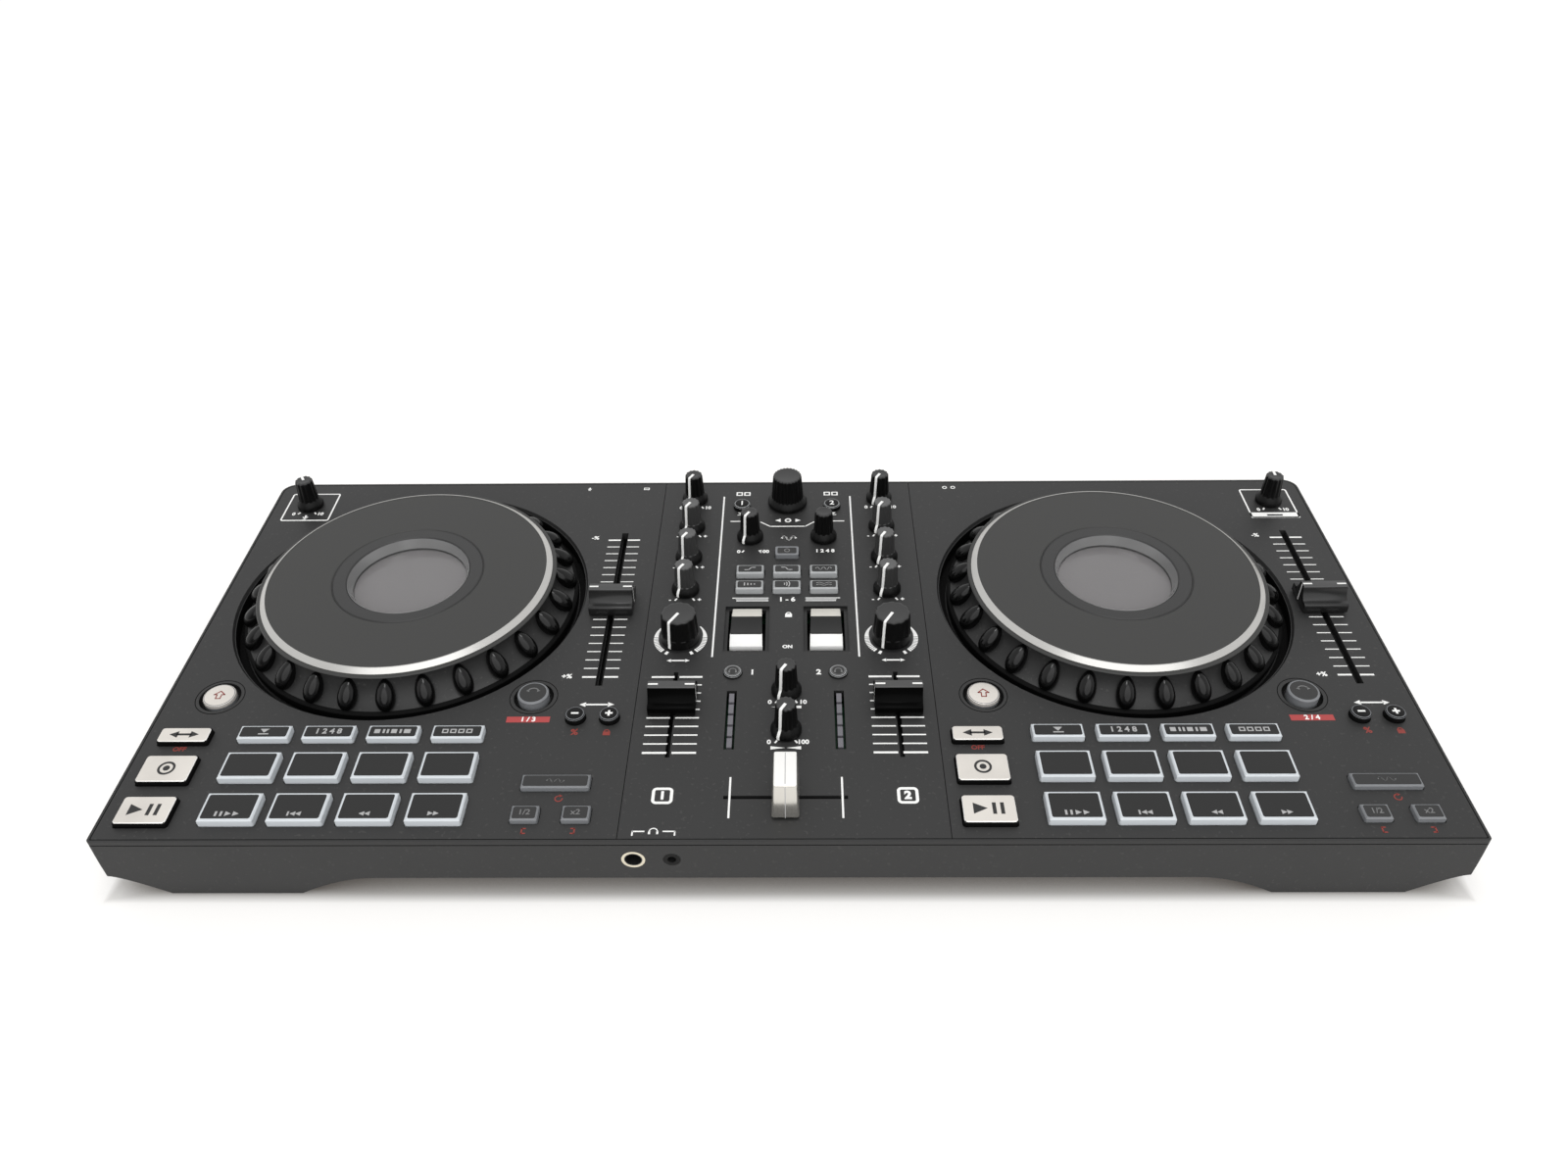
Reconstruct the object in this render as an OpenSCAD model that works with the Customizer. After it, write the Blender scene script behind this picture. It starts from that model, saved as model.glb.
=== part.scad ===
// Two-deck DJ controller: a low black case on two moulded runners, two jog wheels with a round
// display in each hub, and a mixer strip between them.
// Panel coordinates: x from the centre line, y back from the front edge, z up from the face plates.

/* [Case] */
// Width of the case across the panel
case_w = 544; // [540:1:660]
// Depth of the case from front to back
case_d = 245; // [245:1:300]
// Height from the panel down to the underside of the runners
case_h = 32; // [30:0.5:40]
// Height from the panel down to the underside between the runners
middle_h = 22.3; // [21.5:0.1:27]
// Thickness of the moulded walls
wall = 2.5; // [2:0.1:3]
// How far each side wall leans in
side_lean = 1.2; // [0.5:0.1:8]
// Depth below the panel where a side wall turns under
side_knee = 21; // [18:0.1:22]
// Distance that the flare under a side wall sets out level
flare_bend = 5; // [2:0.5:8]
// Distance from the side edge to the flat of the runner
runner_start = 24; // [22:0.5:45]
// Distance from the side edge to the end of the flat of the runner
runner_end = 77; // [70:0.5:90]
// Length of the arch from the runner up to the middle
arch_run = 31; // [24:0.5:36]
// Distance along the arch where its curve turns level
arch_bend = 17; // [8:0.5:20]
// Height of the upper case's lip
lip_h = 2; // [1.9:0.1:3]
// Width of the upper case's lip
lip_w = 1; // [0.8:0.1:2]
// Depth and height of the groove where the two halves of the case meet
groove = 0.5; // [0.3:0.1:0.8]
// Radius of the two back corners
back_r = 7; // [3:0.5:10]
// Radius of the two front corners
front_r = 1.5; // [1:0.5:3]
// Diameter of a rubber foot
foot_d = 20; // [14:1:30]
// How far a rubber foot stands below its runner
foot_h = 1.5; // [1:0.1:3]
// Depth of the pocket that a rubber foot is glued into
foot_pocket = 0.6; // [0.4:0.1:1]

/* [Panel] */
// Thickness of the face plates
plate_t = 1.5; // [1.2:0.1:1.8]
// Thickness of the deck under the face plates
deck_t = 2.2; // [1.8:0.1:3]
// Width of the mixer plate
mixer_w = 130; // [126:1:134]
// Gap at the seams of the face plates
seam = 0.3; // [0.2:0.1:0.6]
// Gap between the face plates and the lip
edge_gap = 0.4; // [0.2:0.1:0.6]
// Distance from a control on the left deck to the same one on the right deck
deck_pitch = 334.5; // [334.5:0.5:345]
// Thickness of the circuit boards
board_t = 1.6; // [1.2:0.1:2]

/* [Jog wheels] */
// Centre of the left jog wheel
jog_at = [-179, 149]; // [-272:0.5:245]
// Outer radius of the jog wheel
rim_r = 78.2; // [65:0.1:79]
// Gap between the jog wheel and the wall of its well
well_gap = 3.8; // [1:0.1:4]
// Width of the chamfer round the well in the face plate
well_chamfer = 1.1; // [0.8:0.1:2]
// Depth of the well
well_depth = 8; // [7:0.1:9]
// Thickness of the well's floor and wall
well_wall = 2; // [1.5:0.1:2.5]
// Height of the wheel's outer edge
rim_h = -1.7; // [-2:0.1:1]
// How far the wheel's flank runs in from the rim
flank_run = 10.7; // [10:0.1:13]
// Height at the top of the wheel's flank
flank_h = 10; // [9:0.1:11]
// Thickness of the wheel's wall
wheel_wall = 4.2; // [4:0.1:5]
// How far the flank sags between its edges
flank_sag = 1.6; // [0:0.1:1.8]
// Number of finger nubs round the wheel
nub_count = 27; // [18:1:32]
// Width of a finger nub
nub_w = 8; // [5:0.1:8.5]
// Length of a finger nub
nub_len = 15; // [11:0.1:15.5]
// How far the nubs of the left and the right wheel are turned, in degrees
nub_turn = [-2.5, 0]; // [-6:0.5:6]
// Height of the shadow gap under the platter disc
shadow_gap = 1.2; // [0.8:0.1:2]
// How far the platter disc stands out over the top of the flank
disc_over = 2; // [2:0.1:4]
// Thickness of the platter disc at its edge
disc_edge = 1; // [0.9:0.1:2]
// Thickness of the raised middle of the platter disc
disc_rise = 2; // [1.5:0.1:3]
// Distance from the edge of the disc in to the trim ring
ring_inset = 1.9; // [1.5:0.1:4]
// Width of the trim ring
ring_w = 2.6; // [2:0.1:4]
// Height of the trim ring's outer edge
ring_edge = 0.3; // [0.2:0.1:0.8]
// Lip of the silver ring above the disc
ring_lip = 0.15; // [0.05:0.05:0.3]
// Radius of the fixed hub
hub_r = 34.9; // [28:0.1:41]
// Radius of the hub's stem, which the wheel turns on
stem_r = 20; // [16:0.5:22]
// Width of the hub's border round the display window
hub_border = 6.4; // [4:0.1:8]
// How far the wall round the window slopes in
window_slope = 2; // [0.5:0.1:3]
// Depth of the window below the top of the hub
window_drop = 5; // [4:0.1:6]
// Thickness of the window and of the screen under it
window_t = 1; // [0.8:0.1:1.2]

/* [Knobs] */
// Diameter of a potentiometer shaft
shaft_d = 6; // [4:0.5:6]
// Depth that a shaft reaches into its knob
shaft_grip = 9.5; // [7:0.1:10]
// Gap between a knob and the panel
knob_lift = 0.4; // [0.3:0.1:1]
// How far the browse knob pushes down
push_travel = 0.5; // [0.3:0.1:0.8]
// Small knob: skirt diameter, body diameter, top diameter and height
eq_knob = [13.3, 10, 8.7, 16.5]; // [6:0.1:24]
// Filter knob: skirt diameter, body diameter, top diameter and height
filter_knob = [17.5, 17.2, 15.8, 15.7]; // [6:0.1:24]
// Browse knob: skirt diameter, body diameter, top diameter and height
browse_knob = [20.5, 16.6, 14.6, 18]; // [6:0.1:24]
// Height of a knob's skirt
skirt_h = 3.2; // [2:0.1:4]
// Number of flutes round a knob
knob_flutes = 12; // [8:1:16]
// Number of flutes round the browse knob
browse_flutes = 24; // [16:1:30]
// Depth of the flutes
flute_depth = 0.4; // [0.2:0.05:0.5]
// Width of the pointer rib on a knob
pointer_w = 1; // [0.6:0.1:1.5]
// How far the pointer rib stands out
pointer_h = 0.15; // [0.1:0.05:0.3]
// Distance of the channel knobs from the centre line
channel_x = 48.5; // [46:0.1:50]
// Rows of the channel knobs: gain, high, mid, low and filter
channel_y = [228.5, 203.5, 178, 153, 118]; // [100:0.5:240]
// Centre of the microphone knob
mic_at = [-252, 225]; // [-262:0.5:235]
// Centre of the master knob
master_at = [252.3, 225]; // [200:0.1:262]
// Centre of the browse knob
browse_at = [0.3, 225]; // [-5:0.1:230]
// Centre of the effect mix knob
wet_at = [-18.5, 195]; // [-30:0.1:200]
// Centre of the beats knob
beats_at = [18.7, 195]; // [10:0.1:200]
// Centre of the headphone gain knob
phones_gain_at = [0.5, 83]; // [-5:0.1:90]
// Centre of the headphone mix knob
phones_mix_at = [0.5, 59]; // [-5:0.1:64]

/* [Keys] */
// Sync key: centre x, centre y, width, depth and height
sync_key = [-253.7, 55.5, 21.5, 8.4, 2.4]; // [-264:0.1:64]
// Cue key: centre x, centre y, width, depth and height
cue_key = [-253.7, 36.4, 21.5, 14.8, 2.4]; // [-264:0.1:64]
// Play key: centre x, centre y, width, depth and height
play_key = [-253.7, 14.35, 21.5, 14.3, 2.4]; // [-264:0.1:64]
// First mode key: centre x, centre y, width, depth and height
mode_key = [-220, 56.7, 22, 8, 2.8]; // [-264:0.1:64]
// First pad: centre x, centre y, width, depth and height
pad_key = [-220, 15.45, 22.5, 15, 3]; // [-264:0.1:64]
// Gaps between the columns of pads and between their rows
pad_gap = [4.8, 7.35]; // [4:0.05:8]
// Loop key: centre x, centre y, width, depth and height
loop_key = [-92.7, 29.6, 28.2, 7.6, 2]; // [-120:0.1:64]
// Half-loop key: centre x, centre y, width, depth and height
half_key = [-102.6, 13, 11.3, 8, 2]; // [-120:0.1:64]
// Double-loop key: centre x, centre y, width, depth and height
double_key = [-82.3, 13, 11.5, 8, 2]; // [-120:0.1:64]
// Shift key: centre x, centre y, diameter, nothing and height
shift_key = [-248.2, 80.5, 14, 0, 1.2]; // [-264:0.1:90]
// Deck key: centre x, centre y, diameter, nothing and height
deck_key = [-110, 80, 13.6, 0, 2.7]; // [-120:0.1:90]
// Slower key: centre x, centre y, diameter, nothing and height
slower_key = [-89.9, 67, 8.5, 0, 3]; // [-120:0.1:90]
// Faster key: centre x, centre y, diameter, nothing and height
faster_key = [-75.3, 67, 8.5, 0, 3]; // [-120:0.1:90]
// Tap key: centre x, centre y, width, depth and height
tap_key = [0.25, 181.3, 11.5, 6.8, 2.4]; // [-10:0.1:190]
// First effect key: centre x, centre y, width, depth and height
effect_key = [-17.7, 154, 13.7, 7, 3]; // [-30:0.1:180]
// Gaps between the columns of effect keys and between their rows
effect_gap = [4.25, 5]; // [3.5:0.05:6]
// Left load key: centre x, centre y, diameter, nothing and height
load_key = [-23.5, 222, 8.5, 0, 2.5]; // [-30:0.1:230]
// Left headphone-cue key: centre x, centre y, diameter, nothing and height
listen_key = [-23.5, 95, 8, 0, 1.4]; // [-30:0.1:100]
// Width of the moat in the face plate round the shift and deck keys
moat_w = 1.9; // [1:0.1:3]
// Corner radius of the square keys
key_r = 1; // [0.6:0.1:1.5]
// Width of the chamfer round the top of a key
key_chamfer = 0.5; // [0.3:0.1:0.8]
// How far the sides of a key lean in
key_lean = 0.25; // [0:0.05:0.5]
// Width of the flange that holds a key under the deck
flange_w = 1; // [0.8:0.1:1.2]
// Thickness of that flange
flange_t = 1.2; // [1:0.1:1.5]
// Diameter of the plunger under a key
plunger_d = 3; // [2:0.1:3.5]
// Side of a key switch
switch_w = 6; // [5:0.1:6.5]
// Height of a key switch
switch_h = 3.5; // [3:0.1:5]
// Room between a key and its switch
switch_gap = 1.8; // [1.4:0.1:2.4]

/* [Faders] */
// Width of a fader cap across its slot
cap_w = 20.6; // [18:0.1:22]
// Depth of a fader cap along its slot
cap_d = 17.6; // [14:0.1:18]
// Height of a fader cap
cap_h = 11; // [9:0.1:13]
// Thickness of the ridge along the top of a cap
cap_ridge = 5; // [3:0.1:6]
// Height of the flared edges of a cap
cap_flare = 3; // [2:0.1:4]
// Gap between a cap and the panel
cap_lift = 0.6; // [0.4:0.1:1]
// Left pitch fader: slot x, slot start, slot end and slot width
pitch_slot = [-82.5, 87, 199.5, 3.2]; // [-95:0.1:200]
// Where the pitch fader caps stand
pitch_rest = 143; // [95:0.5:190]
// Left channel fader: slot x, slot start, slot end and slot width
channel_slot = [-48.8, 44, 95.5, 2]; // [-60:0.1:100]
// Where the channel fader caps stand
channel_rest = 76.5; // [47:0.5:92]
// Crossfader: slot y, slot start, slot end and slot width
cross_slot = [22.3, -24.5, 25.5, 1.8]; // [-30:0.1:30]
// Where the crossfader cap stands
cross_rest = 0.5; // [-20:0.1:20]
// Crossfader cap at its foot: across and along the panel
cross_foot = [11.2, 23]; // [8:0.1:26]
// Crossfader cap at its top: across and along the panel
cross_top = [9.4, 18.4]; // [8:0.1:26]
// Height of the crossfader cap
cross_h = 17.2; // [11:0.1:18]
// Thickness of a fader lever
lever_t = 0.9; // [0.7:0.05:1]
// Width of a fader lever
lever_w = 4; // [3:0.1:5]
// Width of a fader track
track_w = 9; // [8:0.1:10]
// How far a fader track runs past its slot
track_over = 8; // [6:0.5:9]
// Width of the channel along a fader track
track_channel = 2.4; // [2:0.1:3]

/* [Paddles] */
// Opening of the left paddle: left edge, right edge, front edge and back edge
paddle_hole = [-28.7, -7.7, 109.5, 141]; // [-30:0.1:142]
// Ledge of the deck inside the opening of a paddle: at its sides and at its ends
paddle_ledge = [1.8, 1.3]; // [0.5:0.1:1.8]
// Distance from the left paddle to the right paddle
paddle_pitch = 36.8; // [36:0.1:38]
// Width of a paddle at its front and at its back
paddle_w = [15.2, 13.8]; // [10:0.1:17]
// Length of a paddle
paddle_len = 26; // [22:0.1:27]
// Height of a paddle's ridge above the panel
paddle_h = 3.2; // [2:0.1:5]
// Depth of the paddle's pin below the panel
paddle_pin_z = 6; // [5.5:0.1:7]
// Diameter of the paddle's pin
paddle_pin_d = 3; // [2:0.1:3]
// Thickness of the ears that carry the pin
ear_t = 2.5; // [2:0.1:3]

/* [Meters] */
// Left level meter: centre x, front end, back end and width
meter = [-23.4, 48.5, 83.5, 4.4]; // [-30:0.1:90]
// Number of lamps in a level meter
meter_lamps = 5; // [3:1:8]
// Gap between the lamps
lamp_gap = 1.4; // [0.8:0.1:2]

/* [Sockets] */
// Height of the sockets' centre below the panel
socket_z = 11; // [10.5:0.1:12]
// Centre x of the large headphone jack
phones_x = -59.3; // [-62:0.1:-58]
// Centre x of the small headphone jack
mini_x = -44.1; // [-46:0.1:-43]
// Bore of the large jacks
jack_bore = 6.4; // [6.35:0.01:6.5]
// Outer diameter of the large jacks' nose
jack_nose = 9.5; // [9:0.1:11]
// Bore of the small jack
mini_bore = 3.56; // [3.52:0.01:3.7]
// Outer diameter of the small jack's nose
mini_nose = 7; // [5.5:0.1:7.5]
// Depth of the large jacks
jack_len = 32; // [30:0.1:33]
// Depth of the small jack
mini_len = 15; // [14:0.1:18]
// Centre x of the microphone jack
mic_x = -106.5; // [-110:0.1:-104]
// Centre x of the USB socket
usb_x = -76.5; // [-78:0.1:-76]
// USB socket shell: width, height and depth
usb_size = [12, 11, 16]; // [10:0.1:18]
// USB socket mouth: width, height and depth
usb_mouth = [8.45, 7.8, 9]; // [7:0.05:10]
// Centre x between the two phono sockets
phono_x = 85.5; // [80:0.1:95]
// Distance between the two phono sockets
phono_pitch = 14; // [13:0.1:16]
// Diameter of a phono socket
phono_d = 8.3; // [8.2:0.1:8.5]
// Diameter of the collar that a phono socket stands on in the wall
phono_collar = 10.3; // [9.5:0.1:11]
// How far a phono socket stands out of the back
phono_out = 8.5; // [8:0.1:10]
// Pin hole of a phono socket
phono_hole = 3.2; // [3.1:0.05:3.4]

/* [Clearances] */
// Gap between a key and the edge of its hole
key_gap = 0.35; // [0.25:0.05:0.5]
// Gap under the deck above a key's flange
seat_gap = 0.3; // [0.2:0.05:0.5]
// Running clearance of a shaft or plunger in its bore
run_gap = 0.08; // [0.04:0.01:0.1]
// Gap between a fixed piece and the hole that it sits in
fit_gap = 0.1; // [0.05:0.01:0.2]
// Gap round a shaft where it passes through the panel
pass_gap = 0.6; // [0.4:0.1:1]
// Gap between the turning disc and the fixed hub
hub_gap = 0.3; // [0.25:0.05:0.5]

/* [Hidden] */
$fn = 64;
// How far a cutting solid runs past what it cuts, and how far two solids that are moulded as one lap
cut = 1;
lap = 0.2;
least_r = 0.5;
SIDES = ["left", "right"];
CHANNEL_ROWS = ["gain", "high", "mid", "low", "filter"];

// Pointer directions, turned left from twelve o'clock
seven = 150;
eleven = 30;
twelve = 0;
no_pointer = -1;

// Each knob: node, centre, form and pointer direction
CHANNEL_KNOBS = [
    for (side = [0, 1], row = [0:4]) [
        str(SIDES[side], "_", CHANNEL_ROWS[row], "_knob"),
        [(side * 2 - 1) * channel_x, channel_y[row]],
        row == 4 ? filter_knob : eq_knob,
        seven
    ]
];
KNOBS = concat(CHANNEL_KNOBS, [
    ["mic_knob", mic_at, eq_knob, eleven],
    ["master_knob", master_at, eq_knob, twelve],
    ["effect_mix_knob", wet_at, eq_knob, seven],
    ["beats_knob", beats_at, eq_knob, no_pointer],
    ["browse_knob", browse_at, browse_knob, no_pointer],
    ["phones_gain_knob", phones_gain_at, eq_knob, seven],
    ["phones_mix_knob", phones_mix_at, eq_knob, seven]
]);

// The keys of the left deck and of the mixer
pad_pitch = [pad_key[2], pad_key[3]] + pad_gap;
effect_pitch = [effect_key[2], effect_key[3]] + effect_gap;
MODE_KEYS = [for (i = [0:3]) mode_key + [i * pad_pitch.x, 0, 0, 0, 0]];
PADS = [for (row = [0, 1], i = [0:3]) pad_key + [i * pad_pitch.x, row * pad_pitch.y, 0, 0, 0]];
SMALL_KEYS = [shift_key, deck_key, slower_key, faster_key, loop_key, half_key, double_key];
EFFECT_KEYS = [
    for (row = [0, 1], i = [0:2]) effect_key + [i * effect_pitch.x, row * effect_pitch.y, 0, 0, 0]
];
MIXER_KEYS = concat(EFFECT_KEYS, [tap_key, load_key, across(load_key), listen_key, across(listen_key)]);
DECK_KEYS = concat([sync_key, cue_key, play_key], MODE_KEYS, PADS, SMALL_KEYS);
ALL_KEYS = concat(DECK_KEYS, [for (k = DECK_KEYS) over_to(k, 1)], MIXER_KEYS);
MOAT_KEYS = [for (k = [shift_key, deck_key], side = [0, 1]) over_to(k, side)];
DECK_GROUPS = [
    ["sync_key", [sync_key]],
    ["cue_key", [cue_key]],
    ["play_key", [play_key]],
    ["mode_keys", MODE_KEYS],
    ["pads", PADS],
    ["small_keys", SMALL_KEYS]
];

// Heights, from the panel down
deck_z = -plate_t - deck_t;
flange_z = deck_z - seat_gap;
key_foot_z = flange_z - flange_t;
switch_z = key_foot_z - switch_gap;
board_z = switch_z - switch_h;
low_board_z = -socket_z - usb_size.y / 2;
plunger_in = 0.6;
plunger_z = switch_z - plunger_in;
shaft_floor = 1.3;
shaft_foot_z = board_z + shaft_floor;
pin_floor = 0.5;
pot_size = [10, 11];
pot_gap = 0.5;
track_floor = 1.5;
lever_room = 1;
lever_foot_gap = 0.5;
lever_foot_z = board_z + track_floor + lever_foot_gap;
lever_in = 1;

// How far the deck is drawn in to sit between the leaning side walls
deck_inset = wall + side_lean * (-lip_h - deck_z) / (side_knee - lip_h) + seat_gap;

// Where the panel lies in the part's own frame: the box of the whole part is centred on the origin
front_y = -(case_d + phono_out) / 2;
panel_z = case_h + foot_h;

// Jog wheel radii, from the rim inwards
well_in_r = rim_r + well_gap;
well_r = well_in_r + well_chamfer;
well_step = 0.3;
flank_r = rim_r - flank_run;
neck_in = 2;
neck_r = flank_r - neck_in;
disc_r = flank_r + disc_over;
ring_r = disc_r - ring_inset;
ring_in_r = ring_r - ring_w;
window_r = hub_r - hub_border;
glass_r = window_r - window_slope;

// Jog wheel heights and edges
neck_h = flank_h + shadow_gap;
disc_top = neck_h + disc_edge + disc_rise;
disc_step = neck_h + disc_edge;
rim_foot = 6;
rim_lip = 1.5;
rim_round = 0.6;
ring_flat = 0.4;
web_h = [2, 4.5];
web_in = 1.5;
boss_h = [-6, 5];
boss_wall = 4;
edge = 0.4;
window_edge = 0.6;
cup_h = 6.2;
window_z = disc_top - window_drop;
screen_z = window_z - window_t;
nub_slope = atan2(rim_r - flank_r, flank_h - rim_h);
nub_sink = 0.7;
nub_mid = [(rim_r + flank_r) / 2 - nub_sink, 0, (rim_h + flank_h) / 2 - nub_sink];

// Knob details
knob_chamfer = 0.7;
skirt_round = 0.2;
skirt_sweep = 1.6;
flute_share = 0.65;
pointer_root = 1.2;
pointer_rise = 0.5;
pointer_foot_z = skirt_h + skirt_sweep + pointer_rise;

// Screws, in the seams of the plates and beside the jog wells
column_r = 3.2;
column_wall = 1.9;
screw_head = [5.6, 2];
screw_shank_d = 2.5;
screw_hole = 9;
screw_bite = 5;
thread_gap = 0.02;
boss_r = 4.5;
boss_rise = 2;
head_floor = 1;
seam_screw_in = 0.5;
seam_screw_x = mixer_w / 2 - seam_screw_in;
seam_screw_y = [50, 140, 226];
deck_screws = [[-117, 46], [-225, 236]];
SCREWS = concat(
    [for (s = [-1, 1], y = seam_screw_y) [s * seam_screw_x, y]],
    [for (p = deck_screws, side = [0, 1]) p + [side * deck_pitch, 0]]
);
foot_in = 30;
foot_edge = 1;
foot_x = case_w / 2 - (runner_start + runner_end) / 2;
foot_y = [foot_in, case_d - foot_in];

// Posts that carry the boards, moulded under the deck
post_r = 2.2;
deck_posts = [[-206.35, 26.6], [-151.75, 26.6], [-74.5, 82], [-74.5, 205]];
mixer_posts = [[-36, 190], [36, 190], [-36, 66], [36, 66], [48, 20]];
corner_posts = [[-243.5, 233], [243.5, 233]];

// Boards: left edge, front edge, width and depth of each rectangle
corner_board = [21, 24];
deck_board = [[-262, 5, 190.5, 57], [-262, 61, 20.5, 27], [-116, 61, 44.5, 27], [-92, 87, 20.5, 125]];
mixer_board = [[-59, 38, 118, 200], [-37, 7, 96, 32]];
board_gap = 1;
low_back_board = [-122, case_d - wall - board_gap - 35, 228, 35];
low_front_board = [-70, wall + board_gap, 34, 34];
low_post_in = 5;
LOW_POSTS = concat(
    [for (x = [-118, -30, 30, 102]) [x, case_d - wall - board_gap - low_post_in]],
    [for (x = [-67, -39]) [x, wall + board_gap + low_post_in]]
);

// Caps, paddles, lamps and sockets in detail
cap_round = 0.5;
cap_bend = [0.8, 1.5];
cap_shoulder = 1.5;
cross_edge = 1;
cross_draft = 0.2;
paddle_face = 5.6;
paddle_back = 8;
paddle_dish = 1;
paddle_step = [0.3, 0.9];
paddle_side = 2;
paddle_keel = [4, 2.6];
paddle_room = [paddle_hole[1] - paddle_hole[0], paddle_hole[3] - paddle_hole[2]];
ear_x = paddle_room.x / 2 + seat_gap;
ear_half = 4;
ear_foot = 3.2;
lamp_inset = 1.1;
lamp_drop = 0.3;
jack_block = 15;
mini_block = 8;
jack_floor = 2;
usb_corner = 1.6;
usb_tongue = [5.6, 3.2];
usb_tongue_in = 0.8;
phono_block = 13;
phono_bore = 10;

// A key moved to the other deck, or mirrored over the centre line
function over_to(k, side) = [k[0] + side * deck_pitch, k[1], k[2], k[3], k[4]];
function across(k) = [-k[0], k[1], k[2], k[3], k[4]];

// Points along a quarter turn and along a three-point curve
function corner(c, r, from, n = 6) = [
    for (i = [0:n]) c + r * [cos(from + 90 * i / n), sin(from + 90 * i / n)]
];
function curve(a, b, c, n = 8) = [
    for (i = [0:n]) let (t = i / n) pow(1 - t, 2) * a + 2 * t * (1 - t) * b + t * t * c
];
function mirrored(points) = [for (i = [len(points) - 1:-1:0]) [-points[i].x, points[i].y]];

// Height of the case's floor under a place on the panel, outside and inside
function floor_z(x) = abs(x) > case_w / 2 - runner_end ? -case_h : -middle_h;
function floor_in_z(x) = floor_z(x) + wall;

// Height that the head of a case screw is sunk to
function head_seat_z(x) = floor_z(x) + screw_head[1] + head_floor;

// One half of the case seen from the front, drawn in by t
function case_half(t, top) = [
    for (p = concat(
        [[t, top], [t, -lip_h]],
        curve(
            [side_lean + t, t - side_knee],
            [side_lean + flare_bend + t, t - side_knee],
            [runner_start + t, t - case_h]
        ),
        curve(
            [runner_end, t - case_h],
            [runner_end + arch_bend, t - middle_h],
            [runner_end + arch_run, t - middle_h]
        )
    )) [p.x - case_w / 2, p.y]
];
function case_outline(t, top) = concat(case_half(t, top), mirrored(case_half(t, top)));

// The panel seen from above, drawn in by t
function plan_outline(t) = let (
    x = case_w / 2 - t,
    b = max(back_r - t, least_r),
    f = max(front_r - t, least_r)
) concat(
    corner([x - f, t + f], f, 270),
    corner([x - b, case_d - t - b], b, 0),
    corner([b - x, case_d - t - b], b, 90),
    corner([f - x, t + f], f, 180)
);

// A rectangle with round corners, centred
function round_rect(w, d, r) = concat(
    corner([w / 2 - r, r - d / 2], r, 270, 4),
    corner([w / 2 - r, d / 2 - r], r, 0, 4),
    corner([r - w / 2, d / 2 - r], r, 90, 4),
    corner([r - w / 2, r - d / 2], r, 180, 4)
);

// Places its children in panel coordinates
module on_panel() {
    translate([0, front_y, panel_z]) children();
}

// A plan outline raised from one height to another
module slab(points, from, to) {
    translate([0, 0, from]) linear_extrude(to - from) polygon(points);
}

// A front outline run back from one depth to another
module run_back(points, from, to) {
    translate([0, to, 0]) rotate([90, 0, 0]) linear_extrude(to - from) polygon(points);
}

// A side outline, in y and z, run across the width w
module run_across(points, w) {
    translate([-w / 2, 0, 0]) rotate([90, 0, 90]) linear_extrude(w) polygon(points);
}

// A block from one corner to the other
module block(a, b) {
    translate(a) cube(b - a);
}

// A column from one height to another
module post(at, r, from, to) {
    translate([at.x, at.y, from]) cylinder(r = r, h = to - from);
}

module bottom_case() {
    color("#1f1f21") on_panel() difference() {
        union() {
            difference() {
                intersection() {
                    run_back(case_outline(0, 0), 0, case_d);
                    union() {
                        slab(plan_outline(0), -case_h - cut, -lip_h - groove);
                        slab(plan_outline(groove), -lip_h - groove - lap, -lip_h);
                    }
                }
                run_back(case_outline(wall, cut), wall, case_d - wall);
            }
            for (p = SCREWS) post(p, boss_r, floor_in_z(p.x) - wall / 2, floor_in_z(p.x) + boss_rise);
            low_board_posts();
        }
        for (p = SCREWS) {
            post(p, screw_shank_d / 2 + fit_gap, floor_z(p.x) - cut, floor_in_z(p.x) + boss_rise + cut);
            post(p, screw_head[0] / 2 + fit_gap, floor_z(p.x) - cut, head_seat_z(p.x));
        }
        feet_at() post([0, 0], foot_d / 2 + fit_gap, -cut, foot_pocket);
        socket_holes();
    }
}

// Places its children under each end of the two runners
module feet_at() {
    for (s = [-1, 1], y = foot_y) translate([s * foot_x, y, -case_h]) children();
}

// Openings for the sockets through the front and back walls
module socket_holes() {
    wall_hole(phones_x, jack_nose + 2 * fit_gap, 0);
    wall_hole(mini_x, mini_nose + 2 * fit_gap, 0);
    wall_hole(mic_x, jack_nose + 2 * fit_gap, case_d);
    for (s = [-1, 1]) wall_hole(phono_x + s * phono_pitch / 2, phono_collar + 2 * fit_gap, case_d);
    shell = usb_size + 2 * fit_gap * [1, 1, 0];
    block(
        [usb_x - shell.x / 2, case_d - wall - cut, -socket_z - shell.y / 2],
        [usb_x + shell.x / 2, case_d + cut, -socket_z + shell.y / 2]
    );
}

// A round hole through the wall at depth y
module wall_hole(x, d, y) {
    translate([x, y, -socket_z]) rotate([90, 0, 0]) cylinder(d = d, h = 2 * (wall + cut), center = true);
}

module top_case() {
    color("#232325") on_panel() difference() {
        union() {
            difference() {
                slab(plan_outline(0), -lip_h, 0);
                slab(plan_outline(lip_w), -plate_t, cut);
            }
            slab(plan_outline(deck_inset), deck_z, -lip_h + lap);
            jogs_at() post([0, 0], well_in_r + well_wall, -well_depth - well_wall, deck_z + lap);
            for (p = SCREWS) post(p, column_r, floor_in_z(p.x) + boss_rise, deck_z + deck_t / 2);
            for (p = board_posts()) post(p, post_r, board_z, deck_z + deck_t / 2);
            paddles_at() paddle_ears();
        }
        jogs_at() post([0, 0], well_in_r, -well_depth, cut);
        for (p = SCREWS) post(p, screw_shank_d / 2, floor_in_z(p.x), floor_in_z(p.x) + screw_hole);
        control_holes();
    }
}

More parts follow.
